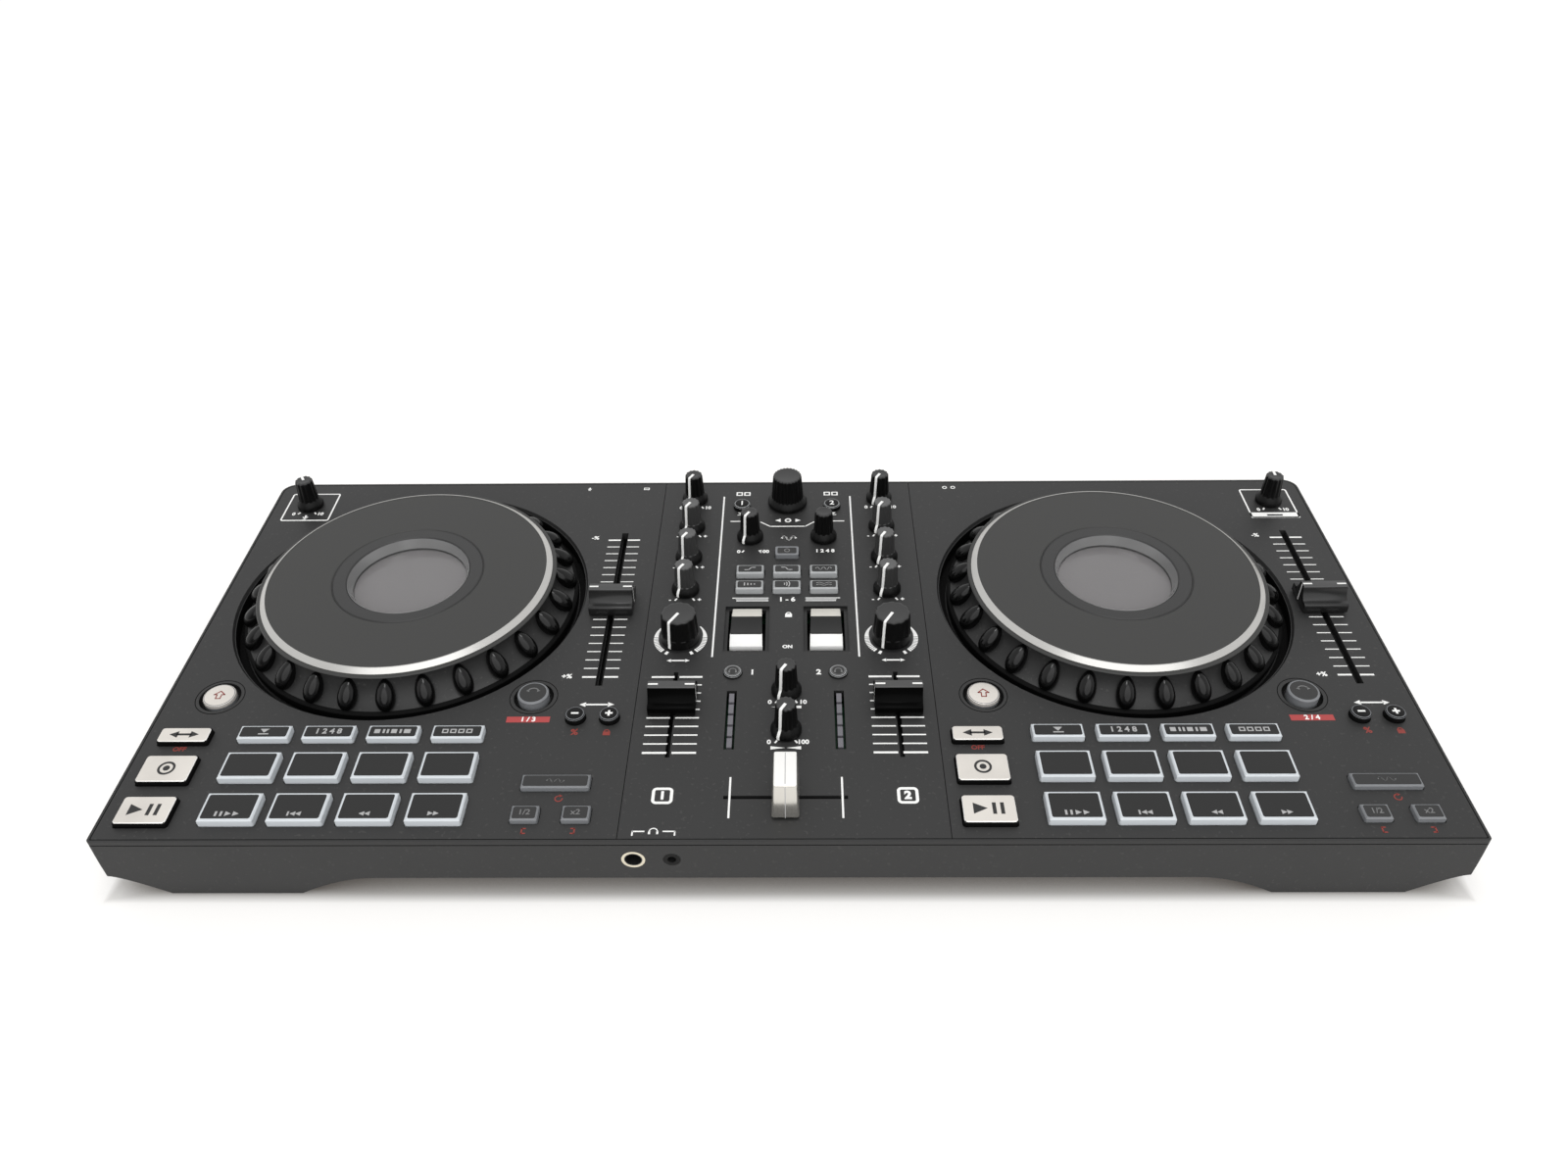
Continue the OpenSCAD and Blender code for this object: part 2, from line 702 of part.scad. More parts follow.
// Places its children at the centre of both jog wheels, or of one of them
module jogs_at(which = [0, 1]) {
    for (side = which) translate([jog_at.x + side * deck_pitch, jog_at.y, 0]) children();
}

function board_posts() = concat(
    mixer_posts,
    corner_posts,
    [for (p = deck_posts, side = [0, 1]) p + [side * deck_pitch, 0]]
);

// The holes that every control needs through the plates and the deck
module control_holes() {
    top = cut;
    bottom = deck_z - cut;
    for (k = ALL_KEYS) translate([k[0], k[1], 0]) slab(key_outline(k, key_gap), bottom, top);
    for (k = KNOBS) post(k[1], shaft_d / 2 + pass_gap, bottom, top);
    for (side = [0, 1]) {
        pitch = pitch_slot + [side * deck_pitch, 0, 0, 0];
        block([pitch[0] - pitch[3] / 2, pitch[1], bottom], [pitch[0] + pitch[3] / 2, pitch[2], top]);
        x = (side * 2 - 1) * -channel_slot[0];
        block(
            [x - channel_slot[3] / 2, channel_slot[1], bottom],
            [x + channel_slot[3] / 2, channel_slot[2], top]
        );
        m = (side * 2 - 1) * -meter[0];
        block([m - meter[3] / 2, meter[1], bottom], [m + meter[3] / 2, meter[2], top]);
        paddle_opening(side, paddle_ledge, bottom);
    }
    block(
        [cross_slot[1], cross_slot[0] - cross_slot[3] / 2, bottom],
        [cross_slot[2], cross_slot[0] + cross_slot[3] / 2, top]
    );
}

// The opening of a paddle, drawn in by a ledge
module paddle_opening(side, ledge, bottom) {
    translate([side * paddle_pitch, 0, 0]) block(
        [paddle_hole[0] + ledge.x, paddle_hole[2] + ledge.y, bottom],
        [paddle_hole[1] - ledge.x, paddle_hole[3] - ledge.y, cut]
    );
}

module face_plates() {
    color("#39393b") on_panel() difference() {
        slab(plan_outline(lip_w + edge_gap), -plate_t, 0);
        for (s = [-1, 1]) block(
            [s * mixer_w / 2 - seam / 2, -cut, -plate_t - cut],
            [s * mixer_w / 2 + seam / 2, case_d + cut, cut]
        );
        jogs_at() rotate_extrude() polygon([
            [0, -plate_t - cut], [well_in_r + well_step, -plate_t - cut], [well_in_r + well_step, -plate_t],
            [well_r, 0], [well_r, cut], [0, cut]
        ]);
        for (k = MOAT_KEYS) post(k, k[2] / 2 + moat_w, -plate_t - cut, cut);
        for (side = [0, 1]) paddle_opening(side, [0, 0], -plate_t - cut);
        control_holes();
    }
}

module rubber_feet() {
    color("#151515") on_panel() feet_at() translate([0, 0, -foot_h]) rotate_extrude() polygon([
        [0, 0], [foot_d / 2 - foot_edge, 0], [foot_d / 2, foot_edge],
        [foot_d / 2, foot_h + foot_pocket], [0, foot_h + foot_pocket]
    ]);
}

module case_screws() {
    color("#8a8a8c") on_panel() for (p = SCREWS) {
        seat = head_seat_z(p.x);
        post(p, screw_head[0] / 2, seat - screw_head[1], seat);
        post(p, screw_shank_d / 2 - thread_gap, seat - lap, floor_in_z(p.x) + boss_rise + screw_bite);
    }
}

// Boards: one under each deck, one under the mixer, one behind each corner knob, two for the sockets
module circuit_boards() {
    color("#1d4a2c") on_panel() {
        for (side = [0, 1]) translate([side * deck_pitch, 0, 0]) control_board(-side) rectangles(deck_board);
        control_board(0) difference() {
            rectangles(mixer_board);
            for (side = [0, 1]) translate([paddle_hole[0] + side * paddle_pitch, paddle_hole[2]])
                offset(delta = board_gap) square(paddle_room);
        }
        for (p = [mic_at, master_at]) board(board_z) translate(p) square(corner_board, center = true);
        board(low_board_z) difference() {
            rectangles([low_back_board, low_front_board]);
            for (p = SCREWS) translate(p) circle(r = boss_r + board_gap);
        }
    }
}

// Rectangles given by their left edge, front edge, width and depth
module rectangles(list) {
    for (r = list) translate([r[0], r[1]]) square([r[2], r[3]]);
}

// A flat outline made into a board with its top at a height
module board(top) {
    translate([0, 0, top - board_t]) linear_extrude(board_t) children();
}

// A control board with room for the screw columns, shifted by the deck it is on
module control_board(shift) {
    board(board_z) difference() {
        children();
        for (p = SCREWS) translate([p.x + shift * deck_pitch, p.y]) circle(r = column_r + column_wall);
    }
}

// The posts that carry the socket boards
module low_board_posts() {
    for (p = LOW_POSTS) post(p, post_r, floor_in_z(p.x) - wall / 2, low_board_z - board_t);
}

// Bodies of the potentiometers and encoders, each with the bore that its shaft turns in
module potentiometers() {
    color("#6f7377") on_panel() for (k = KNOBS) translate([k[1].x, k[1].y, 0]) difference() {
        translate([0, 0, board_z]) linear_extrude(deck_z - pot_gap - board_z) square(pot_size, center = true);
        post([0, 0], shaft_d / 2 + run_gap, shaft_foot_z - push_travel - seat_gap, 0);
    }
}

// A fader track along y, with the channel that its lever runs in
module track(x, from, to) {
    difference() {
        block(
            [x - track_w / 2, from - track_over, board_z],
            [x + track_w / 2, to + track_over, deck_z - seat_gap]
        );
        block(
            [x - track_channel / 2, from - lever_room, board_z + track_floor],
            [x + track_channel / 2, to + lever_room, 0]
        );
    }
}

module fader_tracks() {
    color("#55585c") on_panel() {
        for (side = [0, 1]) {
            track(pitch_slot[0] + side * deck_pitch, pitch_slot[1], pitch_slot[2]);
            track((side * 2 - 1) * -channel_slot[0], channel_slot[1], channel_slot[2]);
        }
        translate([0, cross_slot[0], 0]) rotate([0, 0, -90]) track(0, cross_slot[1], cross_slot[2]);
    }
}

module tact_switches() {
    color("#2c2c2e") on_panel() for (k = ALL_KEYS) translate([k[0], k[1], 0]) difference() {
        block([-switch_w / 2, -switch_w / 2, board_z], [switch_w / 2, switch_w / 2, switch_z]);
        post([0, 0], plunger_d / 2 + run_gap, board_z + pin_floor, switch_z + cut);
    }
}

// The fixed hub: a stem from the well's floor, and the cup that holds the display
module jog_hubs() {
    color("#2e2e31") on_panel() jogs_at() {
        post([0, 0], stem_r, -well_depth, cup_h);
        difference() {
            rotate_extrude() polygon([
                [0, cup_h], [hub_r, cup_h], [hub_r, disc_top - edge],
                [hub_r - edge, disc_top], [window_r + window_edge, disc_top],
                [window_r, disc_top - window_edge], [glass_r, window_z], [0, window_z]
            ]);
            post([0, 0], glass_r, screen_z - window_t, disc_top);
        }
    }
}

module display_screens() {
    color("#6d6d78") on_panel() jogs_at() post([0, 0], glass_r - fit_gap, screen_z - window_t, screen_z);
}

module display_windows() {
    color("#b4b4c0", 0.4) on_panel() jogs_at() post([0, 0], glass_r - fit_gap, screen_z, window_z);
}

// The turning wheel: a hollow flank with finger nubs, a web and the boss that runs on the stem
module jog_wheel(side) {
    color("#242427") on_panel() jogs_at([side]) {
        rotate_extrude($fn = 96) {
            polygon(concat(
                [[rim_r, -rim_foot], [rim_r, rim_h - rim_round]],
                curve(
                    [rim_r - rim_round, rim_h],
                    [(rim_r + flank_r) / 2 - 2 * flank_sag, (rim_h + flank_h) / 2 - 2 * flank_sag],
                    [flank_r, flank_h],
                    6
                ),
                [
                    [neck_r, flank_h], [neck_r, neck_h], [neck_r - wheel_wall, neck_h],
                    [neck_r - wheel_wall, flank_h - wheel_wall], [rim_r - wheel_wall, rim_lip - rim_foot],
                    [rim_r - wheel_wall, -rim_foot]
                ]
            ));
            translate([stem_r + run_gap, web_h[0]]) square([neck_r + web_in - stem_r, web_h[1] - web_h[0]]);
            translate([stem_r + run_gap, boss_h[0]]) square([boss_wall, boss_h[1] - boss_h[0]]);
        }
        for (i = [0:nub_count - 1]) rotate([0, 0, 90 + nub_turn[side] + i * 360 / nub_count])
            translate(nub_mid) rotate([0, -nub_slope, 0]) nub();
    }
}

// A finger nub: a long bead that lies along the flank
module nub() {
    rotate_extrude($fn = 24) polygon([for (a = [0:18:180]) [nub_w / 2 * sin(a), -nub_len / 2 * cos(a)]]);
}

module jog_disc(side) {
    bore = hub_r + hub_gap;
    color("#2b2b2d") on_panel() jogs_at([side]) rotate_extrude($fn = 96) polygon([
        [bore, neck_h], [disc_r - edge, neck_h], [disc_r, neck_h + edge], [disc_r, disc_step - edge],
        [disc_r - edge, disc_step], [ring_in_r - fit_gap / 2, disc_step], [ring_in_r - fit_gap / 2, disc_top],
        [bore + edge, disc_top], [bore, disc_top - edge]
    ]);
}

module jog_ring(side) {
    color("#c4c5c6") on_panel() jogs_at([side]) rotate_extrude($fn = 96) polygon([
        [ring_in_r, disc_step], [ring_r, disc_step], [ring_r, disc_step + ring_edge],
        [ring_in_r + ring_flat, disc_top + ring_lip], [ring_in_r, disc_top + ring_lip]
    ]);
}

// The outline of a key drawn out by g: round where it has no depth of its own
function key_outline(k, g) = k[3] == 0
    ? [for (a = [0:7.5:352.5]) (k[2] / 2 + g) * [cos(a), sin(a)]]
    : round_rect(k[2] + 2 * g, k[3] + 2 * g, key_r + g);

// The upright outline of a square key across one of its widths
function key_profile(w, h) = [
    [-w / 2, flange_z], [w / 2, flange_z], [w / 2, 0], [w / 2 - key_lean, h - key_chamfer],
    [w / 2 - key_lean - key_chamfer, h], [key_lean + key_chamfer - w / 2, h],
    [key_lean - w / 2, h - key_chamfer], [-w / 2, 0]
];

// A key: its cap, the flange that holds it under the deck and the plunger in its switch
module key(k) {
    translate([k[0], k[1], 0]) {
        if (k[3] == 0) {
            r = k[2] / 2;
            rotate_extrude() polygon([
                [0, key_foot_z], [r + flange_w, key_foot_z], [r + flange_w, flange_z], [r, flange_z],
                [r, k[4] - key_chamfer], [r - key_chamfer, k[4]], [0, k[4]]
            ]);
        } else {
            intersection() {
                slab(key_outline(k, 0), flange_z, k[4]);
                run_back(key_profile(k[2], k[4]), -k[3], k[3]);
                run_across(key_profile(k[3], k[4]), 2 * k[2]);
            }
            slab(key_outline(k, flange_w), key_foot_z, flange_z);
        }
        post([0, 0], plunger_d / 2, plunger_z, key_foot_z + flange_t / 2);
    }
}

function key_colour(group) = len(group) == 1 ? "#cfd0d1" : len(group) == 4 ? "#4a4d50" : "#5b6166";

module key_group(keys, side) {
    color(key_colour(keys)) on_panel() for (k = keys) key(over_to(k, side));
}

// The upright half outline of a knob: skirt, tapered body and a chamfered top
function knob_profile(f, lift) = concat(
    [[0, lift], [f[0] / 2, lift]],
    curve(
        [f[0] / 2, skirt_h / 2 + 2 * skirt_round],
        [f[0] / 2 - skirt_round, skirt_h - skirt_round],
        [f[1] / 2, skirt_h + skirt_sweep],
        4
    ),
    [[f[2] / 2, f[3] - knob_chamfer], [f[2] / 2 - knob_chamfer, f[3]], [0, f[3]]]
);

// A knob on its shaft, with its pointer rib turned to where the photograph shows it
module knob(k) {
    form = k[2];
    pushes = k[0] == "browse_knob";
    lift = pushes ? knob_lift + push_travel : knob_lift;
    color("#1c1c1e") on_panel() translate([k[1].x, k[1].y, 0]) {
        difference() {
            union() {
                difference() {
                    rotate_extrude() polygon(knob_profile(form, lift));
                    rotate([0, 0, max(k[3], 0)]) flutes(form, pushes ? browse_flutes : knob_flutes);
                }
                if (k[3] != no_pointer) rotate([0, 0, k[3]]) pointer(form);
            }
            post([0, 0], shaft_d / 2 + fit_gap / 2, 0, shaft_grip);
        }
        if (!pushes) post([0, 0], shaft_d / 2, shaft_foot_z, shaft_grip - fit_gap);
    }
}

// Flutes for the fingers along the tapered side of a knob, with a land under the pointer
module flutes(f, n) {
    w = flute_share * PI * f[2] / n;
    r = w * w / (8 * flute_depth) + flute_depth / 2;
    lean = atan2((f[1] - f[2]) / 2, f[3] - knob_chamfer - skirt_h - skirt_sweep);
    for (i = [0:n - 1]) rotate([0, 0, 90 + (i + 0.5) * 360 / n])
        translate([f[1] / 2 + r - flute_depth, 0, pointer_foot_z])
            rotate([0, -lean, 0]) cylinder(r = r, h = f[3]);
}

// The pointer rib: from the middle of the top to its edge, and down the side
module pointer(f) {
    top = f[2] / 2 - knob_chamfer;
    side_top = f[2] / 2 + pointer_h;
    side_foot = f[1] / 2 + pointer_h;
    run_across([
        [0, f[3] - pointer_root], [0, f[3] + pointer_h], [top, f[3] + pointer_h],
        [side_top, f[3] - knob_chamfer], [side_foot, pointer_foot_z],
        [side_foot - pointer_root, pointer_foot_z], [top - pointer_root, f[3] - 2 * pointer_root]
    ], pointer_w);
}

// The shaft under the browse knob, which slides down when the knob is pushed
module browse_shaft() {
    color("#8f9194") on_panel() post(browse_at, shaft_d / 2, shaft_foot_z, shaft_grip - seat_gap);
}

// A fader cap seen from the side: flared edges with a round shoulder, which sweep up to the ridge
function cap_profile() = let (
    foot = cap_d / 2,
    ridge = cap_ridge / 2,
    step = cap_lift + cap_flare,
    brow = step + cap_shoulder,
    half = concat(
        [[foot, cap_lift]],
        curve([foot, step], [foot, brow], [foot - cap_shoulder, brow], 4),
        curve([foot - 2 * cap_shoulder, brow], [ridge, brow] + cap_bend, [ridge, cap_h - cap_round], 6),
        [[ridge - cap_round, cap_h]]
    )
) concat(half, mirrored(half));

// A cap with the lever that runs in its track
module fader_cap(x, y) {
    color("#232326") on_panel() translate([x, y, 0]) {
        run_across(cap_profile(), cap_w);
        block([-lever_t / 2, -lever_w / 2, lever_foot_z], [lever_t / 2, lever_w / 2, cap_lift + lever_in]);
    }
}

// Upright outline of the crossfader cap across one of its widths
function cross_profile(foot, top) = [
    [-foot / 2, cap_lift], [foot / 2, cap_lift], [top / 2 + cross_draft, cross_h - cross_edge],
    [top / 2 + cross_draft - cross_edge, cross_h], [cross_edge - cross_draft - top / 2, cross_h],
    [-top / 2 - cross_draft, cross_h - cross_edge]
];

module crossfader_cap() {
    color("#d9dadb") on_panel() translate([cross_rest, cross_slot[0], 0]) {
        intersection() {
            run_back(cross_profile(cross_foot.x, cross_top.x), -cross_foot.y, cross_foot.y);
            run_across(cross_profile(cross_foot.y, cross_top.y), 2 * cross_foot.x);
        }
        block([-lever_w / 2, -lever_t / 2, lever_foot_z], [lever_w / 2, lever_t / 2, cap_lift + lever_in]);
    }
}

// Places its children at the pin of each paddle
module paddles_at(which = [0, 1]) {
    for (side = which) translate([
        (paddle_hole[0] + paddle_hole[1]) / 2 + side * paddle_pitch,
        (paddle_hole[2] + paddle_hole[3]) / 2,
        -paddle_pin_z
    ]) children();
}

// The two ears under the deck that carry a paddle's pin
module paddle_ears() {
    for (s = [-1, 1]) difference() {
        translate([s * (ear_x + ear_t / 2), 0, 0])
            block([-ear_t / 2, -ear_half, -ear_foot], [ear_t / 2, ear_half, paddle_pin_z - plate_t]);
        rotate([0, 90, 0]) cylinder(d = paddle_pin_d + 2 * run_gap, h = 4 * ear_x, center = true);
    }
}

// A paddle: a rocker with a steep front face, a dished top and a sloping back, on its own pin
module paddle(side) {
    half = paddle_len / 2;
    ridge = paddle_pin_z + paddle_h;
    plan = [
        [-paddle_w[0] / 2, -half - cut], [paddle_w[0] / 2, -half - cut],
        [paddle_w[1] / 2, half + cut], [-paddle_w[1] / 2, half + cut]
    ];
    color("#cfcfcb") on_panel() paddles_at([side]) {
        intersection() {
            run_across(concat(
                [[-half, paddle_side], [-half, paddle_pin_z + paddle_step[0]]],
                curve(
                    [paddle_face - half, ridge],
                    [(paddle_face - paddle_back) / 2, ridge - paddle_dish],
                    [half - paddle_back, ridge - lap],
                    6
                ),
                [
                    [half, paddle_pin_z + paddle_step[1]], [half, paddle_side],
                    [paddle_keel.x, -paddle_keel.y], [-paddle_keel.x, -paddle_keel.y]
                ]
            ), paddle_w[0]);
            slab(plan, -paddle_keel.y - cut, ridge + cut);
        }
        rotate([0, 90, 0]) cylinder(d = paddle_pin_d, h = 2 * ear_x + 2 * ear_t, center = true);
    }
}

// Lamps of the two level meters, standing on the mixer board
module level_meters() {
    lamp = (meter[2] - meter[1] - (meter_lamps + 1) * lamp_gap) / meter_lamps;
    color("#77797d") on_panel() for (s = [-1, 1], i = [0:meter_lamps - 1]) {
        y = meter[1] + lamp_gap + i * (lamp + lamp_gap);
        x = -s * meter[0];
        block(
            [x - meter[3] / 2 + lamp_inset, y, board_z],
            [x + meter[3] / 2 - lamp_inset, y + lamp, -lamp_drop]
        );
    }
}

// A jack that opens to the front: nose through the wall, block behind it and a blind bore
module jack(x, nose, bore, size) {
    translate([x, 0, -socket_z]) difference() {
        union() {
            rotate([-90, 0, 0]) cylinder(d = nose, h = wall + cut);
            block([-size.x / 2, wall + fit_gap, -size.z / 2], [size.x / 2, size.y, size.z / 2]);
        }
        translate([0, -cut, 0]) rotate([-90, 0, 0]) cylinder(d = bore, h = size.y - jack_floor + cut);
    }
}

module audio_jacks() {
    large = [jack_block, jack_len, usb_size.y];
    color("#3a3a3c") on_panel() {
        jack(phones_x, jack_nose, jack_bore, large);
        jack(mini_x, mini_nose, mini_bore, [mini_block, mini_len, usb_size.y]);
        translate([2 * mic_x, case_d, 0]) rotate([0, 0, 180]) jack(mic_x, jack_nose, jack_bore, large);
    }
}

module usb_socket() {
    x = usb_mouth.x / 2;
    y = usb_mouth.y / 2;
    color("#b9bbbd") on_panel() translate([usb_x, case_d, -socket_z]) {
        difference() {
            block([-usb_size.x / 2, -usb_size.z, -usb_size.y / 2], [usb_size.x / 2, 0, usb_size.y / 2]);
            run_back([
                [-x, -y], [x, -y], [x, y - usb_corner],
                [x - usb_corner, y], [usb_corner - x, y], [-x, y - usb_corner]
            ], -usb_mouth.z, cut);
        }
        block(
            [-usb_tongue.x / 2, -usb_mouth.z - cut, -usb_tongue.y / 2],
            [usb_tongue.x / 2, -usb_tongue_in, usb_tongue.y / 2]
        );
    }
}

module phono_sockets() {
    color("#4a4a4d") on_panel() translate([phono_x, case_d, -socket_z]) difference() {
        union() {
            block(
                [-phono_pitch, -wall - phono_block, -usb_size.y / 2],
                [phono_pitch, -wall - fit_gap, usb_size.y / 2]
            );
            phono_barrels(phono_collar, -wall - cut, 0);
            phono_barrels(phono_d, -cut, phono_out);
        }
        phono_barrels(phono_hole, phono_out - phono_bore, phono_out + cut);
    }
}

// A round bar along y at each phono socket, from one depth to another
module phono_barrels(d, from, to) {
    for (s = [-1, 1]) translate([s * phono_pitch / 2, from, 0])
        rotate([-90, 0, 0]) cylinder(d = d, h = to - from);
}

bottom_case();
top_case();
face_plates();
rubber_feet();
case_screws();
circuit_boards();
potentiometers();
fader_tracks();
tact_switches();
jog_hubs();
display_screens();
display_windows();
level_meters();
audio_jacks();
usb_socket();
phono_sockets();
browse_shaft();
crossfader_cap();
key_group(MIXER_KEYS, 0);  // mixer_keys
for (k = KNOBS) knob(k);
for (side = [0, 1]) {
    jog_wheel(side);
    jog_ring(side);
    jog_disc(side);
    fader_cap(pitch_slot[0] + side * deck_pitch, pitch_rest);
    fader_cap((side * 2 - 1) * -channel_slot[0], channel_rest);
    paddle(side);
    for (group = DECK_GROUPS)
        key_group(group[1], side);
}
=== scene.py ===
# %% [markdown]
# # A two-deck DJ controller
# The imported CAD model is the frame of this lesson: every solid is in place, at its real size, and
# rides on the body that moves it. Blender adds what a drawing leaves out: moulded grain, satin
# paint, printed marks, glossy finger nubs and soft light. Places are given in millimetres on the
# panel, and one function turns them into the metres of the frame.

# %% Load the frame
import math
from collections import defaultdict

import bmesh
import bpy
from mathutils import Matrix, Vector


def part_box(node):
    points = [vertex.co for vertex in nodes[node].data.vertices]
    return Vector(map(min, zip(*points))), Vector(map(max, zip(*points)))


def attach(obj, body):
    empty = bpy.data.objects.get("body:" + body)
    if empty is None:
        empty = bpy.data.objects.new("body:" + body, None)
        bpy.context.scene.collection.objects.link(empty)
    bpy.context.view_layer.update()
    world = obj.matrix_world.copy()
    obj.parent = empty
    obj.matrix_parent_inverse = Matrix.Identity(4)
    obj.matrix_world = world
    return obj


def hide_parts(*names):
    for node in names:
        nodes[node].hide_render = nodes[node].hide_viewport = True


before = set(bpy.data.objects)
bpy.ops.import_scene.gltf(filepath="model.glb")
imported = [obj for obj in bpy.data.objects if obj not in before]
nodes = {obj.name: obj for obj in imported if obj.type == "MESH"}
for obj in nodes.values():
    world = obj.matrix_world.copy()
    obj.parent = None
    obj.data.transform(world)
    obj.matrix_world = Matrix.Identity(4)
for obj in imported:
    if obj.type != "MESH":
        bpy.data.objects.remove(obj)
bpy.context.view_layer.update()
scene = bpy.context.scene

# %% Panel coordinates
MM = 0.001
FRONT_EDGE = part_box("bottom_case")[0].y
PANEL_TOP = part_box("face_plates")[1].z
SIDES = ("left", "right")


def panel(x, y, z=0.0):
    """A place on the panel: mm from the centre line, back from the front edge and up from the plates."""
    return Vector((x * MM, FRONT_EDGE + y * MM, PANEL_TOP + z * MM))


def panel_frame(x=0.0, y=0.0, z=0.0):
    """The matrix that takes a mesh drawn in millimetres round the origin to its place on the panel."""
    return Matrix.Translation(panel(x, y, z)) @ Matrix.Scale(MM, 4)


def over_node(name):
    """The same, for the middle of a CAD node at the height of the panel."""
    low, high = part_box(name)
    middle = (low + high) / 2
    return Matrix.Translation((middle.x, middle.y, PANEL_TOP)) @ Matrix.Scale(MM, 4)


print("front edge", round(FRONT_EDGE, 5), "panel top", round(PANEL_TOP, 5))

# %% [markdown]
# ## Camera, light and floor
# The photograph was taken from in front and above, with a camera held almost level. The camera's
# place was worked out from the known right angles of the panel. A Sun lamp with a wide angle gives
# the soft, even light of a white light tent, and it lights a large floor evenly, which an area lamp
# would not. One small overhead lamp adds the highlights on rings and nubs. The backdrop shows as
# white to the camera and in reflections, but it lights the object at a plain level. Only the room
# behind the camera is dark, and reflections show that: it keeps the fronts of knobs and nubs black.
# The floor keeps the shade under the case, because its own glow would wash a soft shadow out.

# %% Camera
PHOTO_WIDTH = 1600
FOCAL_PIXELS = 1262
SENSOR = 36
CAMERA_PLACE = (6.35, -308, 378.1)
LOOK_DOWN, LOOK_RIGHT, ROLL = (math.radians(a) for a in (39.25, -0.92, -0.81))

camera = bpy.data.objects.new("camera", bpy.data.cameras.new("camera"))
scene.collection.objects.link(camera)
camera.data.sensor_fit = "HORIZONTAL"
camera.data.sensor_width = SENSOR
camera.data.lens = SENSOR * FOCAL_PIXELS / PHOTO_WIDTH
camera.data.clip_start = 0.01
camera.matrix_world = (
    Matrix.Translation(panel(*CAMERA_PLACE))
    @ Matrix.Rotation(-LOOK_RIGHT, 4, "Z")
    @ Matrix.Rotation(math.pi / 2 - LOOK_DOWN, 4, "X")
    @ Matrix.Rotation(ROLL, 4, "Z")
)
scene.camera = camera
scene.view_settings.view_transform = "Standard"
print("camera lens", round(camera.data.lens, 2), "mm")


# %% Node helpers
def feed(tree, node, inputs):
    """Links or sets a node's inputs, by number or name; underscores stand for spaces."""
    for name, value in inputs.items():
        socket = node.inputs[name.replace("_", " ") if isinstance(name, str) else name]
        if isinstance(value, bpy.types.NodeSocket):
            tree.links.new(value, socket)
        else:
            socket.default_value = value


def place_node(tree, kind, inputs=None, **settings):
    """A new node in a tree, with its settings, and its inputs set or linked."""
    node = tree.nodes.new(kind)
    for name, value in settings.items():
        setattr(node, name, value)
    feed(tree, node, inputs or {})
    return node


def math_node(tree, operation, first, second=0.0, third=0.0):
    """The result of a Math node."""
    node = place_node(tree, "ShaderNodeMath", {0: first, 1: second, 2: third}, operation=operation)
    return node.outputs[0]


def map_range(tree, value, start, end, reach=1.0):
    """Nothing at the start of a range, growing to a reach at its end."""
    limits = {"Value": value, "From Min": start, "From Max": end, "To Min": 0.0, "To Max": reach}
    return place_node(tree, "ShaderNodeMapRange", limits).outputs[0]


def seen_rays(tree):
    """One for rays that come from the camera, a reflection or a clear part, and nothing for the rest."""
    path = place_node(tree, "ShaderNodeLightPath").outputs
    mirrored = math_node(tree, "ADD", path["Is Camera Ray"], path["Is Glossy Ray"])
    return math_node(tree, "ADD", mirrored, path["Is Transmission Ray"])


# %% World and lamps
LIGHT_LEVEL = 0.6
SUN_LEVEL, SUN_SPREAD, SUN_TILT = 1.6, 70, (45, 6, 0)
OVERHEAD = {"size": 0.3, "height": 1200.0, "watts": 2.2}
ROOM_START, ROOM_FULL, ROOM_SHADE = -0.3, -0.8, 0.8
WHITE = (1, 1, 1, 1)

world = bpy.data.worlds.new("light_tent")
scene.world = world
world.use_nodes = True
sky = world.node_tree
sky.nodes.clear()
heading = place_node(sky, "ShaderNodeTexCoord").outputs["Generated"]
towards_room = place_node(sky, "ShaderNodeSeparateXYZ", {0: heading}).outputs["Y"]
dark_room = map_range(sky, towards_room, ROOM_START, ROOM_FULL, ROOM_SHADE)
mirrored = place_node(sky, "ShaderNodeLightPath").outputs["Is Glossy Ray"]
bright = math_node(sky, "SUBTRACT", 1.0, math_node(sky, "MULTIPLY", dark_room, mirrored))
lighting = place_node(sky, "ShaderNodeBackground", {"Color": WHITE, "Strength": LIGHT_LEVEL}).outputs[0]
backdrop = place_node(sky, "ShaderNodeBackground", {"Color": WHITE, "Strength": bright}).outputs[0]
blend = place_node(sky, "ShaderNodeMixShader", {0: seen_rays(sky), 1: lighting, 2: backdrop})
place_node(sky, "ShaderNodeOutputWorld", {"Surface": blend.outputs[0]})


def place_lamp(name, kind, level):
    """A lamp of a kind and strength in the scene."""
    lamp = bpy.data.objects.new(name, bpy.data.lights.new(name, kind))
    scene.collection.objects.link(lamp)
    lamp.data.energy = level
    return lamp


sun = place_lamp("soft_lamp", "SUN", SUN_LEVEL)
sun.data.angle = math.radians(SUN_SPREAD)
sun.rotation_euler = [math.radians(a) for a in SUN_TILT]
overhead = place_lamp("overhead_lamp", "AREA", OVERHEAD["watts"])
overhead.data.size = OVERHEAD["size"]
overhead.location = panel(0, 120, OVERHEAD["height"])
print("world", LIGHT_LEVEL, "sun", SUN_LEVEL, "overhead", OVERHEAD["watts"])

# %% Floor
FLOOR_HALF = 6.0
GLOW_SHARE, GLOW_LEVEL = 0.3, 1.3
SHADOW_REACH, SHADOW_EDGE, SHADOW_DEPTH, SHADOW_RAYS = 0.03, 0.004, 1.5, 16
SHADOW_TINT, PAPER = (0.1, 0.085, 0.07, 1), (0.97, 0.96, 0.944, 1)

